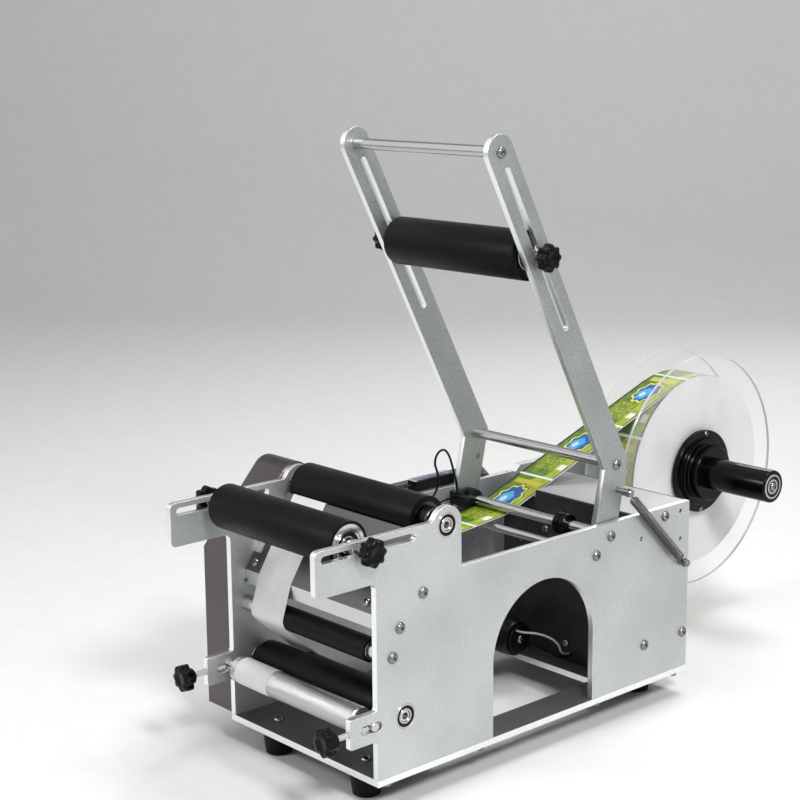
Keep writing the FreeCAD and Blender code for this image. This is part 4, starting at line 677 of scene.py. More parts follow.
knurl_tree, size = geometry_tree("knurled_sleeve", Radius=0.012, Length=0.1, Depth=0.0005, Starts=36,
                                 Lead=0.0754)
grid = add_node(knurl_tree, "GeometryNodeMeshGrid",
                {"Size X": 1.0, "Size Y": 1.0, "Vertices X": 217, "Vertices Y": 321})
where = add_node(knurl_tree, "GeometryNodeInputPosition").outputs[0]
turn_part = calc(knurl_tree, "ADD", vector_part(knurl_tree, where, 0), 0.5)
along_part = calc(knurl_tree, "ADD", vector_part(knurl_tree, where, 1), 0.5)
wind = calc(knurl_tree, "DIVIDE", calc(knurl_tree, "MULTIPLY", along_part, size["Length"]), size["Lead"])
waves = []
for sense in ("ADD", "SUBTRACT"):
    phase = calc(knurl_tree, "MULTIPLY", calc(knurl_tree, sense, turn_part, wind), size["Starts"])
    waves.append(calc(knurl_tree, "PINGPONG", phase, 0.5))
lift = calc(knurl_tree, "MULTIPLY", calc(knurl_tree, "MINIMUM", *waves),
            calc(knurl_tree, "MULTIPLY", size["Depth"], 2.0))
radius = calc(knurl_tree, "ADD", calc(knurl_tree, "SUBTRACT", size["Radius"], size["Depth"]), lift)
angle = calc(knurl_tree, "MULTIPLY", turn_part, 2 * math.pi)
rolled = add_node(knurl_tree, "ShaderNodeCombineXYZ", {
    0: calc(knurl_tree, "MULTIPLY", along_part, size["Length"]),
    1: calc(knurl_tree, "MULTIPLY", radius, calc(knurl_tree, "COSINE", angle)),
    2: calc(knurl_tree, "MULTIPLY", radius, calc(knurl_tree, "SINE", angle))}).outputs[0]
bent = add_node(knurl_tree, "GeometryNodeSetPosition",
                {"Geometry": grid.outputs[0], "Position": rolled}).outputs[0]
close_tree(knurl_tree, add_node(knurl_tree, "GeometryNodeMergeByDistance",
                                {"Geometry": bent, "Distance": 0.00002}).outputs[0],
           size["Finish"])

KNURL_X0, KNURL_X1, PINCH_R = -30.0, 82.0, 12.0
knurl = grown("knurl", knurl_tree, bpy.data.meshes.new("blank"), knurl_metal,
              Length=(KNURL_X1 - KNURL_X0) / 1000, Radius=PINCH_R / 1000)
knurl.transform(Matrix.Translation(spot((KNURL_X0, *PINCH))))
settle("pinch_roller_knurl", knurl, "pinch_roller_body", sharp=60)
pinch = Shape()
turn(pinch, bright_metal, [(-83, 9), (-83, 11.4), (-82.4, 12), (-30, 12), (-30, 11.7), (-29.5, 11.6),
                           (81.5, 11.6), (82, 11.7),
                           (82, 12), (82.4, 12), (83, 11.4), (83, 9), (79, 9), (79, 5.05), (-79, 5.05),
                           (-79, 9)], (0, *PINCH))
pinch.make("pinch_roller_core", "pinch_roller_body", "pinch_roller")

# %% [markdown]
# A star knob is a round boss with eight soft lobes. A cosine of eight waves round a circle gives the
# lobes, and a list of levels says how high each ring sits, how wide it is and how deep the lobes are, so
# the crown and the dish in the middle come from the same loop.

# %% Star knobs
KNOB_LEVELS = ((0.0, 3.1, 0.0), (0.0, 6.6, 0.0), (0.4, 7.0, 0.0), (3.7, 7.0, 0.0), (4.0, 9.6, 0.8),
               (4.8, 11.2, 1.1),
               (6.0, 11.35, 1.15), (10.6, 11.35, 1.15), (12.0, 11.0, 1.1), (13.0, 10.2, 0.95),
               (13.7, 8.8, 0.6),
               (14.0, 7.2, 0.25), (13.9, 5.2, 0.0), (13.3, 4.2, 0.0), (13.0, 0.0, 0.0))


def star_knob(shape, point, axis, steps=96):
    place = Matrix.Translation(point) @ Vector(axis).to_track_quat("Z", "Y").to_matrix().to_4x4()
    verts, rows = [place @ Vector((0, 0, 11.0))], [[0] * steps]
    for z, r, lobe in ((11.0, 3.1, 0.0),) + KNOB_LEVELS[:-1]:
        rows.append(range(len(verts), len(verts) + steps))
        for k in range(steps):
            a = 2 * math.pi * k / steps
            reach = r + lobe * math.cos(8 * a)
            verts.append(place @ Vector((reach * math.cos(a), reach * math.sin(a), z)))
    verts.append(place @ Vector((0, 0, KNOB_LEVELS[-1][0])))
    rows.append([len(verts) - 1] * steps)
    faces = []
    for low, high in zip(rows, rows[1:]):
        for k in range(steps):
            m = (k + 1) % steps
            faces.append(list(dict.fromkeys((low[k], low[m], high[m], high[k]))))
    shape.grow(verts, faces, knob_plastic)


PLATE_MID = 98.0
KNOB_SEAT_Y = -43.5
for name, side in (("right", 1), ("left", -1)):
    knob = Shape()
    star_knob(knob, (side * front_seat, *FRONT), (side, 0, 0))
    knob.make(name + "_front_star_knob", name + "_front_knob_body", name + "_front_knob")
    knob = Shape()
    star_knob(knob, (side * upper_seat, *UPPER_AT), (side, 0, 0))
    knob.make(name + "_upper_star_knob", name + "_upper_knob_body", name + "_upper_knob")
    knob = Shape()
    star_knob(knob, (side * PLATE_MID, KNOB_SEAT_Y, PINCH[1]), (0, -1, 0))
    rings = [(-3.0, 0.0), (-3.0, 2.5)]
    for k in range(48):
        rings += [(-3.0 + k * 0.8, 2.5), (-2.6 + k * 0.8, 2.2)]
    turn(knob, ground_steel, [(y, r) for y, r in rings if y < PINCH[0] - 4.3 - KNOB_SEAT_Y] +
         [(PINCH[0] - 4.3 - KNOB_SEAT_Y, 2.0), (PINCH[0] - 4.3 - KNOB_SEAT_Y, 0.0)],
         (side * PLATE_MID, KNOB_SEAT_Y, PINCH[1]), (0, 1, 0), steps=24, ring=False)
    turn(knob, ground_steel, [(-3.0, 0.0), (-3.0, 3.0), (10.0, 3.0), (10.0, 0.0)],
         (side * PLATE_MID, KNOB_SEAT_Y, PINCH[1]),
         (0, -1, 0), steps=24, ring=False)
    knob.make(name + "_pinch_star_knob", name + "_pinch_knob_body", name + "_pinch_knob")

# %% [markdown]
# Some fifty button head screws hold the machine, in three sizes. They are the classic job for Geometry
# Nodes: a head is made once, a dome with a hexagon cut from it, and stands on every point of a small
# cloud, turned to the "aim" that the point carries. Each size is the same tree with other inputs.

# %% Button head screws
screw_tree, size = geometry_tree("button_head_screws", Head_radius=0.005, Head_height=0.003,
                                 Socket_radius=0.0017,
                                 Shank_radius=0.0025, Shank_length=0.006)
blank = add_node(screw_tree, "GeometryNodeMeshCylinder", {"Vertices": 32, "Side Segments": 8,
                                                          "Radius": size["Head radius"],
                                                          "Depth": size["Head height"]}).outputs[0]
where = add_node(screw_tree, "GeometryNodeInputPosition").outputs[0]
up_part = calc(screw_tree, "ADD", calc(screw_tree, "DIVIDE", vector_part(screw_tree, where, 2),
                                       size["Head height"]), 0.5)
dome = calc(screw_tree, "SQRT", calc(screw_tree, "SUBTRACT", 1.0,
                                     calc(screw_tree, "MULTIPLY", calc(screw_tree, "POWER", up_part, 2.4),
                                          0.62)))
domed = add_node(screw_tree, "ShaderNodeCombineXYZ", {
    0: calc(screw_tree, "MULTIPLY", vector_part(screw_tree, where, 0), dome),
    1: calc(screw_tree, "MULTIPLY", vector_part(screw_tree, where, 1), dome),
    2: calc(screw_tree, "MULTIPLY", up_part, size["Head height"])}).outputs[0]
blank = add_node(screw_tree, "GeometryNodeSetPosition", {"Geometry": blank, "Position": domed}).outputs[0]
hexagon = add_node(screw_tree, "GeometryNodeMeshCylinder", {"Vertices": 6, "Radius": size["Socket radius"],
                                                            "Depth": size["Head height"]}).outputs[0]
raised = add_node(screw_tree, "ShaderNodeCombineXYZ", {2: size["Head height"]}).outputs[0]
hexagon = add_node(screw_tree, "GeometryNodeTransform",
                   {"Geometry": hexagon, "Translation": raised}).outputs[0]
head = add_node(screw_tree, "GeometryNodeMeshBoolean", {"Mesh 1": blank, "Mesh 2": hexagon},
                operation="DIFFERENCE").outputs[0]
shank = add_node(screw_tree, "GeometryNodeMeshCylinder", {"Vertices": 20, "Radius": size["Shank radius"],
                                                          "Depth": size["Shank length"]}).outputs[0]
sunk = add_node(screw_tree, "ShaderNodeCombineXYZ",
                {2: calc(screw_tree, "MULTIPLY", size["Shank length"], -0.5)}).outputs[0]
shank = add_node(screw_tree, "GeometryNodeTransform", {"Geometry": shank, "Translation": sunk}).outputs[0]
screw = add_node(screw_tree, "GeometryNodeJoinGeometry")
screw_tree.links.new(head, screw.inputs[0])
screw_tree.links.new(shank, screw.inputs[0])
aim = add_node(screw_tree, "GeometryNodeInputNamedAttribute", {"Name": "aim"},
               data_type="FLOAT_VECTOR").outputs[0]
turned_to = add_node(screw_tree, "FunctionNodeAlignRotationToVector", {"Vector": aim}, axis="Z").outputs[0]
stood = add_node(screw_tree, "GeometryNodeInstanceOnPoints", {"Points": size["Geometry"],
                                                              "Instance": screw.outputs[0],
                                                              "Rotation": turned_to}).outputs[0]
close_tree(screw_tree, stood, size["Finish"])


def screws(name, seats, scale=1.0, its_finish=None, length=6.0):
    """Plain mesh of screws at (seat, aim) pairs; scale 1 is the large size of the side plates."""
    cloud = bpy.data.meshes.new(name + "_seats")
    cloud.from_pydata([spot(seat) for seat, _ in seats], [], [])
    aims = cloud.attributes.new("aim", "FLOAT_VECTOR", "POINT").data
    aims.foreach_set("vector", [c for _, aim in seats for c in aim])
    return grown(name, screw_tree, cloud, its_finish or polished_steel, Head_radius=0.005 * scale,
                 Head_height=0.003 * scale, Socket_radius=0.0017 * scale, Shank_radius=0.0025 * scale,
                 Shank_length=length / 1000)


PEEL_SCREW = (51.4, 157.2)
BOX_SCREWS = ((360.7, 162.0), (334.0, 41.3), (390.0, 40.8))
large = [((side * PLATE_OUT, *at), (side, 0, 0)) for side in (-1, 1)
         for at in (WEB_ROD, STOP, PIVOT, GUIDE, PEEL_SCREW)]
large += [((PLATE_OUT, *at), (1, 0, 0)) for at in BOX_SCREWS]
large += [((-PLATE_OUT, *BOX_SCREWS[0]), (-1, 0, 0)), ((70.0, *REEL), (1, 0, 0)),
          ((-PLATE_IN, *REEL), (-1, 0, 0))]
large += [((x, y, 6.0), (0, 0, 1)) for x in (-60.0, 60.0) for y in (22.0, 372.0)]
settle("frame_button_screws", screws("frame_button_screws", large), "frame", "frame_screws")
slope_out = (0, -math.sin(SLOPE), math.cos(SLOPE))
slope_at = (SLOPE_FOOT[0] + 8.0 * math.cos(SLOPE), SLOPE_FOOT[1] + 8.0 * math.sin(SLOPE))
small = [((x, y, 0.0), (0, 0, -1)) for x in (-98.0, 98.0) for y in (12.0, 120.0, 270.0, 381.0)]
small += [((x, *slope_at), slope_out) for x in (-86.0, 66.0)]
small += [((x, 320.0, z), (0, -1, 0)) for x, z in ((-46.0, 118.0), (-14.0, 134.0), (14.5, 23.5))]
small += [((-143.0, *at), (-1, 0, 0)) for at in ((16.0, 130.0), (190.0, 158.0), (300.0, 110.0),
                                                 (110.0, 20.0))]
small += [((-PLATE_OUT, *at), (-1, 0, 0)) for at in ((384.0, 162.6), (384.5, 135.4))]
small += [((-PLATE_OUT, MOTOR[0] + 17 * math.cos(a), MOTOR[1] + 17 * math.sin(a)), (-1, 0, 0))
          for a in (math.pi / 4 + k * math.pi / 2 for k in range(4))]
settle("frame_small_screws", screws("frame_small_screws", small, scale=0.8, length=5.0), "frame")
arm_heads = [((side * 94.0, *at), (side, 0, 0)) for side in (-1, 1) for at in (ARM_TOP, ARM_BEND)]
settle("arm_button_screws", screws("arm_button_screws", arm_heads), "swing_frame", "arm_screws")

# %% [markdown]
# Posts for the side cover and the pins and posts that hold the springs are turned parts again. A pin
# has a groove where the spring's hook lies.

# %% Cover posts, spring pins and spring posts
POST = (300.5, 197.0)
PIN = (384.0, 113.0)
SPRING_X = 107.0
posts = Shape()
for at in ((16.0, 130.0), (190.0, 158.0), (300.0, 110.0), (110.0, 20.0)):
    rod(posts, ground_steel, -141.5, -PLATE_OUT, at, 4.0)
hook_posts = Shape()
for side in (-1, 1):
    for shape, at, start in ((posts, PIN, 95.0), (hook_posts, POST, 88.0)):
        profile = [(start, 0), (start, 2.5), (101, 2.5), (101, 3.5), (105.8, 3.5), (105.8, 2.5),
                   (108.2, 2.5), (108.2, 3.5),
                   (111, 3.5), (111.5, 3.0), (111.5, 0)]
        turn(shape, polished_steel, profile, (0, *at), (side, 0, 0), steps=32, ring=False)
posts.make("cover_posts_and_pins", "frame")
hook_posts.make("spring_posts", "swing_frame")

# %% [markdown]
# A return spring on each side pulls the hinged frame back up. Its coils are a helix, which Geometry
# Nodes sweep from a spiral curve, and the hooks are a bent wire through the same wire circle. The wire's
# ends belong to two bodies that turn against each other; the spring is built once, stretched between its
# pin and its post where they stand now.

# %% Return springs
spring_tree, size = geometry_tree("wire_spring", Turns=10.0, Coil_radius=0.004, Coil_start=0.01,
                                  Coil_length=0.1,
                                  Wire_radius=0.0006)
coil = add_node(spring_tree, "GeometryNodeCurveSpiral", {"Resolution": 16, "Rotations": size["Turns"],
                                                         "Start Radius": size["Coil radius"],
                                                         "End Radius": size["Coil radius"],
                                                         "Height": size["Coil length"]}).outputs[0]
start = add_node(spring_tree, "ShaderNodeCombineXYZ", {2: size["Coil start"]}).outputs[0]
coil = add_node(spring_tree, "GeometryNodeTransform", {"Geometry": coil, "Translation": start}).outputs[0]
hooks = add_node(spring_tree, "GeometryNodeMeshToCurve", {"Mesh": size["Geometry"]}).outputs[0]
wires = add_node(spring_tree, "GeometryNodeJoinGeometry")
spring_tree.links.new(coil, wires.inputs[0])
spring_tree.links.new(hooks, wires.inputs[0])
circle = add_node(spring_tree, "GeometryNodeCurvePrimitiveCircle",
                  {"Resolution": 8, "Radius": size["Wire radius"]}).outputs[0]
swept = add_node(spring_tree, "GeometryNodeCurveToMesh", {"Curve": wires.outputs[0], "Profile Curve": circle,
                                                          "Fill Caps": True}).outputs[0]
close_tree(spring_tree, swept, size["Finish"])

HOOK_LENGTH, EYE_R, COIL_R = 11.0, 3.4, 3.7
span = math.dist(POST, PIN)
hook_lines = bpy.data.meshes.new("hook_lines")
points, edges = [], []
for base, sense in ((0.0, 1), (span, -1)):
    first = len(points)
    points.append((COIL_R, 0, base + sense * HOOK_LENGTH))
    points.append((COIL_R * 0.7, 0, base + sense * (HOOK_LENGTH - 1.5)))
    points.append((COIL_R * 0.2, 0, base + sense * (HOOK_LENGTH - 2.8)))
    for k in range(25):
        a = math.radians(-5 + 320 * k / 24)
        points.append((0, EYE_R * math.sin(a), base + sense * EYE_R * math.cos(a)))
    edges += [(i, i + 1) for i in range(first, len(points) - 1)]
hook_lines.from_pydata([Vector(p) / 1000 for p in points], edges, [])
for name, side in (("right", 1), ("left", -1)):
    wire = grown(name + "_return_spring", spring_tree, hook_lines, spring_steel, Turns=34.0,
                 Coil_radius=COIL_R / 1000, Wire_radius=0.00085,
                 Coil_start=HOOK_LENGTH / 1000, Coil_length=(span - 2 * HOOK_LENGTH) / 1000)
    down = Vector((0, PIN[0] - POST[0], PIN[1] - POST[1])).normalized()
    across = Vector((1, 0, 0)).cross(down)
    turned = Matrix((Vector((side, 0, 0)), across * side, down)).transposed().to_4x4()
    wire.transform(Matrix.Translation(spot((side * SPRING_X, *POST))) @ turned)
    wire.shade_smooth()
    spring = bpy.data.objects.new(name + "_return_spring", wire)
    bpy.context.scene.collection.objects.link(spring)
    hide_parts(name + "_spring")
    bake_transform(spring)
    print(spring.name, len(wire.polygons), "faces")

# %% [markdown]
# The web of labels leaves the top of the roll, dips under the pivot shaft and the web rod, climbs the
# peel plate and turns back sharply at its edge. The labels go on to the bottle and the bare backing runs
# down to the rollers that pull it. Each straight run touches two circles, so the path is worked out from
# the rollers' places, and a thin ribbon is laid along it with its distance stored for the print.

# %% The path of the web
def touch(c0, r0, c1, r1):
    """Straight run that touches two circles; a positive radius has its circle on the left."""
    dy, dz = c1[0] - c0[0], c1[1] - c0[1]
    base = math.atan2(dz, dy) - math.asin((r1 - r0) / math.hypot(dy, dz))
    left = (-math.sin(base), math.cos(base))
    return ((c0[0] - left[0] * r0, c0[1] - left[1] * r0), (c1[0] - left[0] * r1, c1[1] - left[1] * r1))


def wrap(centre, a, b, sense, step=6.0):
    """Points of the round from a to b about a centre; sense +1 turns from +Y towards +Z."""
    r = math.dist(centre, a)
    a0 = math.atan2(a[1] - centre[1], a[0] - centre[0])
    sweep = (math.atan2(b[1] - centre[1], b[0] - centre[0]) - a0) * sense % (2 * math.pi)
    count = max(2, int(math.degrees(sweep) / step))
    return [(centre[0] + r * math.cos(a0 + sense * sweep * k / count),
             centre[1] + r * math.sin(a0 + sense * sweep * k / count))
            for k in range(count + 1)]


def ribbon(shape, upper, lower, path, start=0.0, thick=0.16, x0=WEB_X0, x1=WEB_X1):
    """Thin band along (y, z) points; its distances run across from the middle and along from start."""
    sides, travel, run = [], [start], start
    for k, (y, z) in enumerate(path):
        before, after = path[max(k - 1, 0)], path[min(k + 1, len(path) - 1)]
        dy, dz = after[0] - before[0], after[1] - before[1]
        length = math.hypot(dy, dz)
        off = (dz / length * thick / 2, -dy / length * thick / 2)
        sides.append(((y + off[0], z + off[1]), (y - off[0], z - off[1])))
        if k:
            run += math.dist(path[k - 1], path[k])
            travel.append(run)
    verts = [Vector((x, *side)) for pair in sides for side in pair for x in (x0, x1)]
    faces, where, parts = [], [], []
    half = (x1 - x0) / 2
    for k in range(len(path) - 1):
        n, m = 4 * k, 4 * k + 4
        t, u = travel[k], travel[k + 1]
        faces += [(n, n + 1, m + 1, m), (n + 2, m + 2, m + 3, n + 3), (n, m, m + 2, n + 2),
                  (n + 1, n + 3, m + 3, m + 1)]
        where += [[(-half, t), (half, t), (half, u), (-half, u)],
                  [(-half, t), (-half, u), (half, u), (half, t)],
                  [(-half, t), (-half, u), (-half, u), (-half, t)],
                  [(half, t), (half, t), (half, u), (half, u)]]
        parts += [upper, lower, lower, lower]
    last = 4 * len(path) - 4
    faces += [(0, 2, 3, 1), (last, last + 1, last + 3, last + 2)]
    where += [[(0, 0)] * 4] * 2
    parts += [lower, lower]
    shape.grow(verts, faces, parts, where)
    return run


ROLL_R = 102.5
HALF_WEB = 0.3             # clearance to a roller and half the web's thickness
up = (math.cos(SLOPE), math.sin(SLOPE))
out = (-math.sin(SLOPE), math.cos(SLOPE))
bend = SLOPE_FOOT
edge = (bend[0] + PEEL_REACH * up[0] - out[0], bend[1] + PEEL_REACH * up[1] - out[1])
a0, a1 = touch(REEL, ROLL_R + HALF_WEB, PIVOT, -SHAFT_R - HALF_WEB)
b0, b1 = touch(PIVOT, -SHAFT_R - HALF_WEB, WEB_ROD, -SHAFT_R - HALF_WEB)
c0, c1 = touch(WEB_ROD, -SHAFT_R - HALF_WEB, edge, EDGE_TURN)
web_path = [a0] + wrap(PIVOT, a1, b0, -1) + wrap(WEB_ROD, b1, c0, -1) + [c1]
fold = (bend[0] + 0.2 * out[0], bend[1] + 0.2 * out[1])
d0, d1 = touch(edge, EDGE_TURN, fold, 0.01)
e1 = touch(fold, 0.01, GUIDE, GUIDE_R + HALF_WEB)[1]
f0, f1 = touch(GUIDE, GUIDE_R + HALF_WEB, TRACTION, -TRACTION_R - HALF_WEB)
nip = (TRACTION[0] - TRACTION_R - HALF_WEB, TRACTION[1])
strip_path = wrap(edge, c1, d0, 1, 30) + [d1] + wrap(GUIDE, e1, f0, 1) + wrap(TRACTION, f1, nip, -1)
web = Shape()
web_end = ribbon(web, label_print, liner_white, web_path, 20.0)
web.make("label_web_printed", "frame", "label_web")
strip = Shape()
ribbon(strip, liner_white, liner_white, strip_path)
strip.make("backing_strip_paper", "frame", "backing_strip")
over_pinch = Shape()
round_r = PINCH_R + 0.22
ribbon(over_pinch, liner_white, liner_white,
       [(PINCH[0] + round_r * math.cos(a), PINCH[1] + round_r * math.sin(a))
        for a in (math.radians(4 + 232 * k / 48) for k in range(49))])
over_pinch.make("strip_over_pinch_roller", "pinch_carriage")
print("web", round(web_end - 20.0, 1), "mm from the roll to the peel edge")

# %% [markdown]
# The roll is a ring of paper on a cardboard core. Its outermost layer is printed, so it gets its own
# ribbon all the way round, which carries the pattern on from the web. Clear discs guide it on both
# sides, and black hubs with two small screws each centre it on a long black tube.

# %% Label roll, discs, hubs and tube
roll = Shape()
turn(roll, roll_paper, [(WEB_X0, 41), (WEB_X0, ROLL_R - 0.3), (WEB_X1, ROLL_R - 0.3), (WEB_X1, 41)],
     (0, *REEL), steps=144)
turn(roll, core_card, [(WEB_X0, 38), (WEB_X0, 41), (WEB_X1, 41), (WEB_X1, 38)], (0, *REEL), steps=96)
layer_r = ROLL_R - 0.12
leave = math.atan2(a0[1] - REEL[1], a0[0] - REEL[0])
layer = [(REEL[0] + layer_r * math.cos(a), REEL[1] + layer_r * math.sin(a))
         for a in (leave - math.radians(359.9) * (1 - k / 144) for k in range(145))]
ribbon(roll, label_print, liner_white, layer, 20.0 - 2 * math.pi * layer_r)
roll.make("label_roll_paper", "reel", "label_roll")


def disc(name, body, node, x0, x1):
    plate = Shape()
    turn(plate, acrylic, [(x0, 37.7), (x0, 124.6), (x1, 124.6), (x1, 37.7)], (0, *REEL), steps=144)
    made = plate.make(name, body, node)
    rim = Shape()
    turn(rim, acrylic_edge, [(x0, 124.62), (x0 + 0.4, 125.0), (x1 - 0.4, 125.0), (x1, 124.62)], (0, *REEL),
         steps=144)
    rim.make(name + "_rim", body)
    return made


disc("far_disc_acrylic", "reel", "far_reel_disc", -78.3, -75.3)
disc("near_disc_acrylic", "near_flange", "near_reel_disc", -29.4, -26.4)
far_hub = Shape()
turn(far_hub, hub_plastic, [(-61.3, 17), (-61.3, 37.2), (-61.8, 37.7), (-78.3, 37.7), (-78.3, 44.0),
                            (-78.8, 44.5), (-83.8, 44.5),
                            (-84.3, 44.0), (-84.3, 17)], (0, *REEL), steps=96)
far_hub.make("far_hub_black", "reel", "far_reel_hub")
near_hub = Shape()
turn(near_hub, hub_plastic, [(-43.4, 17.05), (-43.4, 37.2), (-42.9, 37.7), (-26.4, 37.7), (-26.4, 44.0),
                             (-25.9, 44.5), (-21.0, 44.5), (-20.4, 43.9), (-20.4, 36.9), (-20.0, 36.5),
                             (-17.2, 36.5), (-16.4, 35.7), (-16.4, 30.3), (-15.6, 29.5), (-7.4, 29.5),
                             (-6.4, 28.5), (-6.4, 17.05)], (0, *REEL), steps=96)
near_hub.make("near_hub_black", "near_flange", "near_reel_hub")
for name, body, x, side in (("far_hub_screws", "reel", -84.3, -1),
                            ("near_hub_screws", "near_flange", -20.4, 1)):
    seats = [((x, REEL[0] + 41 * math.cos(a), REEL[1] + 41 * math.sin(a)), (side, 0, 0))
             for a in (math.radians(86), math.radians(266))]
    settle(name, screws(name, seats, scale=0.55, length=4.0), body)
reel_tube = Shape()
turn(reel_tube, hub_plastic, [(-86, 13.1), (-86, 16.5), (-85.5, 17), (-5.8, 17), (-5.8, 16.2), (-4.3, 16.2),
                              (-4.3, 17), (69, 17), (69.9, 16.7), (70.3, 16.2), (70.5, 15.5), (70.5, 13.4),
                              (70.2, 13.1), (62, 13.1), (62, 8), (-77.5, 8), (-77.5, 13.1)], (0, *REEL),
     steps=96)
reel_tube.make("reel_tube_black", "reel", "reel_tube")
spindle = Shape()
turn(spindle, dark_steel_and_painted_shade, [(-95, 0), (-95, 6), (-87, 6), (-87, 10), (-86.3, 10), (-86.3, 6), (69.6, 6),
                           (70, 5.6), (70, 0)],
     (0, *REEL), ring=False)
bearing(spindle, -86, -78, REEL, 13.0, 6.0)
bearing(spindle, 62.5, 70.5, REEL, 13.0, 6.0)
spindle.make("reel_spindle_and_bearings", "frame", "reel_spindle")

# %% [markdown]
# Small turned pieces are left: the rubber feet, the sliding collar on the pivot shaft, and the geared
# motor, whose black end cap shows through the arch.

# %% Feet, collar and motor
feet = Shape()
for x in (-60.0, 60.0):
    for y in (22.0, 372.0):
        turn(feet, foot_rubber, [(-24, 2.6), (-24, 11.0), (-23.2, 12.0), (-2.0, 14.75), (-0.8, 14.9),
                                 (0, 14.2), (0, 2.6)], (x, y, 0),
             (0, 0, 1), steps=48)
feet.make("moulded_feet", "frame", "rubber_feet")
collar = Shape()
turn(collar, hub_plastic, [(36, 5.05), (36, 9.4), (36.6, 10), (42.3, 10), (42.3, 9), (43.7, 9), (43.7, 10),
                           (49.4, 10), (50, 9.4),
                           (50, 5.05)], (0, *PIVOT))
collar.make("sliding_collar", "web_collar", "right_web_collar")
motor = Shape()
turn(motor, blasted, [(-95, 5.05), (-95, 24), (-92, 24), (-92, 23.2), (-66, 23.2), (-66, 24), (-65.3, 24),
                      (-65, 23.7), (-65, 18),
                      (-82, 18), (-82, 5.05)], (0, *MOTOR), steps=72)
turn(motor, motor_black, [(-65, 0), (-65, 17.6), (-64, 18), (-18, 18), (-14.2, 17.4), (-13, 16.4),
                          (-13, 14), (-10.6, 14), (-10, 13.4), (-10, 3.4), (-10.6, 3.0), (-10.6, 0)],
     (0, *MOTOR), steps=72, ring=False)
motor.make("geared_motor", "frame", "drive_motor")
settle("motor_cap_screw", screws("motor_cap_screw", [((-10.0, *MOTOR), (1, 0, 0))], scale=0.8, length=2.0),
       "frame")

# %% [markdown]
# The fibre amplifier is a slim black case under a clear lid, with a row of small keys and a display
# window. Each is a small eased block, and the row of keys repeats by a number.

# %% Fibre amplifier
def block(shape, its_finish, low, high, ease=0.3):
    """Box with eased upright and top edges, from its low corner to its high one."""
    (x0, y0, z0), (x1, y1, z1) = low, high
    verts, faces = [], []
    for z, grow in ((z0, 0), (z1 - ease, 0), (z1, ease)):
        c = ease
        ring = [(x0 + c, y0), (x1 - c, y0), (x1, y0 + c), (x1, y1 - c), (x1 - c, y1), (x0 + c, y1),
                (x0, y1 - c), (x0, y0 + c)]
        mx, my = (x0 + x1) / 2, (y0 + y1) / 2
        verts += [Vector((x + (grow if x < mx else -grow), y + (grow if y < my else -grow), z)) for x,
                  y in ring]
    for level in (0, 8):
        faces += [(level + k, level + (k + 1) % 8, level + 8 + (k + 1) % 8, level + 8 + k) for k in range(8)]
    faces += [tuple(range(7, -1, -1)), tuple(range(16, 24))]
    shape.grow(verts, faces, its_finish)


case = Shape()
block(case, sensor_plastic, (-117, 232, 170.7), (-105, 284, 179.6))
block(case, white_key, (-116.0, 232.6, 179.5), (-106.0, 235.4, 180.5), 0.4)
block(case, display_blue, (-113.5, 255, 179.5), (-108.5, 264, 180.0), 0.15)
block(case, white_key, (-114.5, 276.5, 179.5), (-107.5, 280, 180.4), 0.3)
block(case, circuit_green, (-113.5, 266, 179.5), (-108.5, 275, 179.9), 0.15)
for k in range(4):
    block(case, bright_metal, (-112.8, 237 + 4.4 * k, 179.5), (-109.2, 239.8 + 4.4 * k, 180.5), 0.3)
case.make("amplifier_case", "frame", "fibre_amplifier")
lid = Shape()
block(lid, lid_clear, (-116.6, 233, 180.55), (-105.4, 283, 181.15), 0.25)
lid.make("amplifier_clear_lid", "frame")

# %% [markdown]
# Four thin leads run from the sensor to its amplifier and from the motor into the box. A lead is one
# smooth NURBS line through its route, with a round bevel, so it reads as flexible wire.

# %% Leads
def lead(name, node, route, diameter, its_finish, length):
    line = bpy.data.curves.new(name, "CURVE")
    line.dimensions = "3D"
    line.bevel_depth = diameter / 2000
    line.bevel_resolution = 4
    line.resolution_u = 8
    line.use_fill_caps = True
    spline = line.splines.new("NURBS")
    spline.points.add(len(route) - 1)
    for point, at in zip(spline.points, route):
        point.co = (*spot(at), 1.0)
    spline.order_u = 3
    spline.use_endpoint_u = True
    line.materials.append(its_finish)
    made = bpy.data.objects.new(name, line)
    bpy.context.scene.collection.objects.link(made)
    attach(made, "frame")
    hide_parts(node)
    print(name, length, "mm long")


lead("tall_sensor_lead", "sensor_lead_tall", [(-108.5, 231.8, 176), (-108.5, 224, 176), (-105, 213, 178),
                                              (-95, 206, 181), (-85, 206, 175), (-78, 214, 167),
                                              (-73, 224, 170), (-69, 229, 184), (-65, 224, 198),
                                              (-61.5, 216, 209), (-60, 219, 219.5), (-60.5, 228.5, 221.5),
                                              (-62.5, 237, 213), (-67.5, 246, 199), (-74, 255, 187),
                                              (-81, 264, 179), (-83.4, 267, 169.3)], 2.2, black_jacket, 198.0)
lead("short_sensor_lead", "sensor_lead_short", [(-113.5, 231.8, 176), (-113.5, 221, 176), (-109, 209, 178),
                                                (-98, 200, 181), (-87, 201, 173), (-80, 212, 162),
                                                (-78.5, 226, 160), (-80, 240, 162.5), (-83, 251, 162.5),
                                                (-83.4, 260.2, 162.5)], 2.2, black_jacket, 115.2)
lead("white_motor_lead", "motor_lead_white",
     [(-9.7, 276, 41), (-2, 276, 41), (9, 282, 42), (17, 294, 37), (20, 304, 28), (19, 308, 18),
      (18, 317, 14),
      (18, 326, 14)], 2.0, white_jacket, 77.5)
lead("black_motor_lead", "motor_lead_black",
     [(-9.7, 287, 25), (-2, 287, 25), (8, 291, 21), (17, 297, 18), (22.5, 307, 14.5), (23, 317, 14),
      (23, 326, 14)],
     2.0, black_jacket, 60.8)

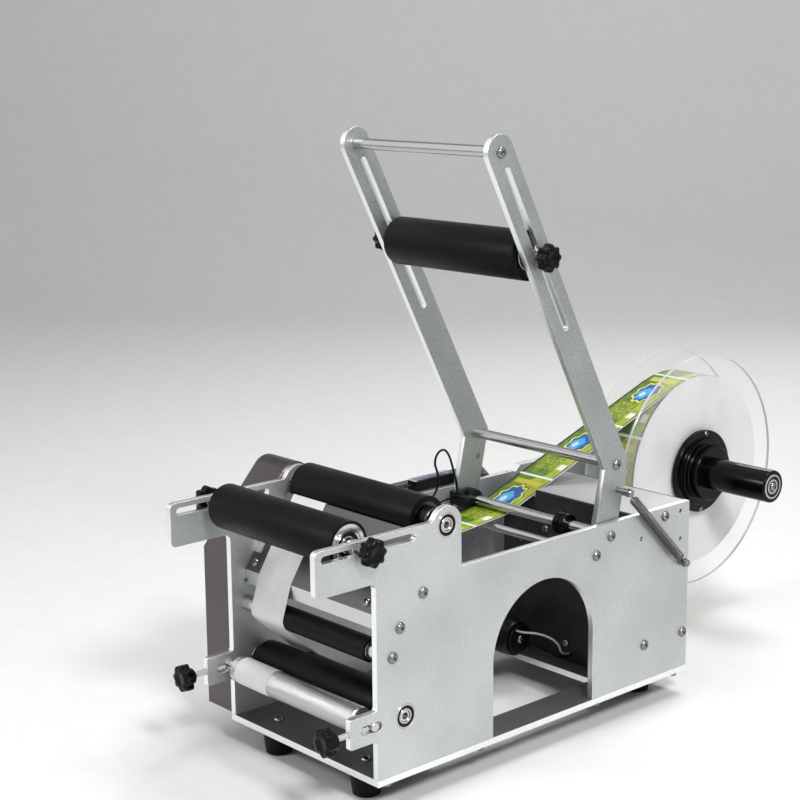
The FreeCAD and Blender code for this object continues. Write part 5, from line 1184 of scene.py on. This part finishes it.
# %% [markdown]
# The stage is a pale floor that curves up into a wall, so no line shows behind the machine. The world
# gives an even soft light, and to the camera, to reflections and through clear plastic it looks white.

# %% Floor, world and lamps
floor_mesh = bpy.data.meshes.new("pale_floor")
profile = [(-4.0, 0.0), (2.2, 0.0)] + [(2.2 + 0.8 * math.sin(a), 0.8 - 0.8 * math.cos(a))
                                       for a in (math.pi / 2 * k / 12 for k in range(1, 13))] + [(3.0, 4.5)]
verts, faces = [], []
for d, z in profile:
    verts += [(x * math.cos(0.72) - d * math.sin(0.72), x * math.sin(0.72) + d * math.cos(0.72), z)
              for x in (-7.0, 7.0)]
for k in range(len(profile) - 1):
    faces.append((2 * k, 2 * k + 1, 2 * k + 3, 2 * k + 2))
floor_mesh.from_pydata(verts, [], faces)
floor_mesh.shade_smooth()
floor = bpy.data.objects.new("pale_floor", floor_mesh)
bpy.context.scene.collection.objects.link(floor)
pale = bpy.data.materials.new("pale_floor")
pale.use_nodes = True
tree = pale.node_tree
tone = spread(tree, noise(tree, coordinates(tree), 30, 3.0), 0.3, 0.7, 0.0, 1.0)
tree.links.new(mixed(tree, tone, rgb(0.80, 0.80, 0.795), rgb(0.83, 0.83, 0.825)),
               tree.nodes["Principled BSDF"].inputs["Base Color"])
tree.nodes["Principled BSDF"].inputs["Roughness"].default_value = 0.7
floor_mesh.materials.append(pale)

world = bpy.data.worlds.new("studio")
bpy.context.scene.world = world
world.use_nodes = True
tree = world.node_tree
rays = add_node(tree, "ShaderNodeLightPath").outputs
seen = calc(tree, "MAXIMUM", calc(tree, "MAXIMUM", rays["Is Camera Ray"], rays["Is Glossy Ray"]),
            rays["Is Transmission Ray"])
tree.nodes["Background"].inputs["Color"].default_value = rgb(1.0, 1.0, 1.0)
tree.links.new(spread(tree, seen, 0.0, 1.0, 0.2, 1.0), tree.nodes["Background"].inputs["Strength"])


def lamp(name, at, aim, size, watts):
    light = bpy.data.lights.new(name, "AREA")
    light.size = size
    light.energy = watts
    made = bpy.data.objects.new(name, light)
    made.location = at
    made.rotation_euler = (Vector(aim) - Vector(at)).to_track_quat("-Z", "Y").to_euler()
    bpy.context.scene.collection.objects.link(made)
    print(name, watts, "W")


lamp("key_light", (1.7, -0.8, 1.7), (0.0, -0.05, 0.2), 0.45, 37.0)
lamp("front_light", (-0.6, -1.8, 1.3), (0.0, -0.1, 0.2), 0.5, 12.0)
lamp("top_light", (0.2, 0.35, 2.2), (0.0, 0.0, 0.25), 0.8, 24.0)
lamp("rim_light", (-0.9, 1.6, 1.4), (0.0, 0.1, 0.25), 0.6, 8.0)

# %% [markdown]
# The camera stands to the right of the machine's front and a little above it, with a long lens, so the
# horn of the near plate and the reel both show.

# %% Camera
azimuth, elevation, tilt = math.radians(48.18), math.radians(11.95), math.radians(-0.54)
back = Vector((math.sin(azimuth) * math.cos(elevation), -math.cos(azimuth) * math.cos(elevation),
               math.sin(elevation)))
right = Vector((0, 0, 1)).cross(back).normalized()
up_axis = back.cross(right)
turned_right = right * math.cos(tilt) + up_axis * math.sin(tilt)
turned_up = up_axis * math.cos(tilt) - right * math.sin(tilt)
camera = bpy.data.objects.new("camera", bpy.data.cameras.new("camera"))
camera.data.lens = 36.0 * 1737.8 / 800
camera.data.clip_start, camera.data.clip_end = 0.05, 30.0
camera.matrix_world = Matrix.Translation(spot((1109.24, -874.15, 609.32))) @ Matrix(
    (turned_right, turned_up, back)).transposed().to_4x4()
bpy.context.scene.collection.objects.link(camera)
bpy.context.scene.camera = camera
bpy.context.scene.view_settings.view_transform = "Standard"
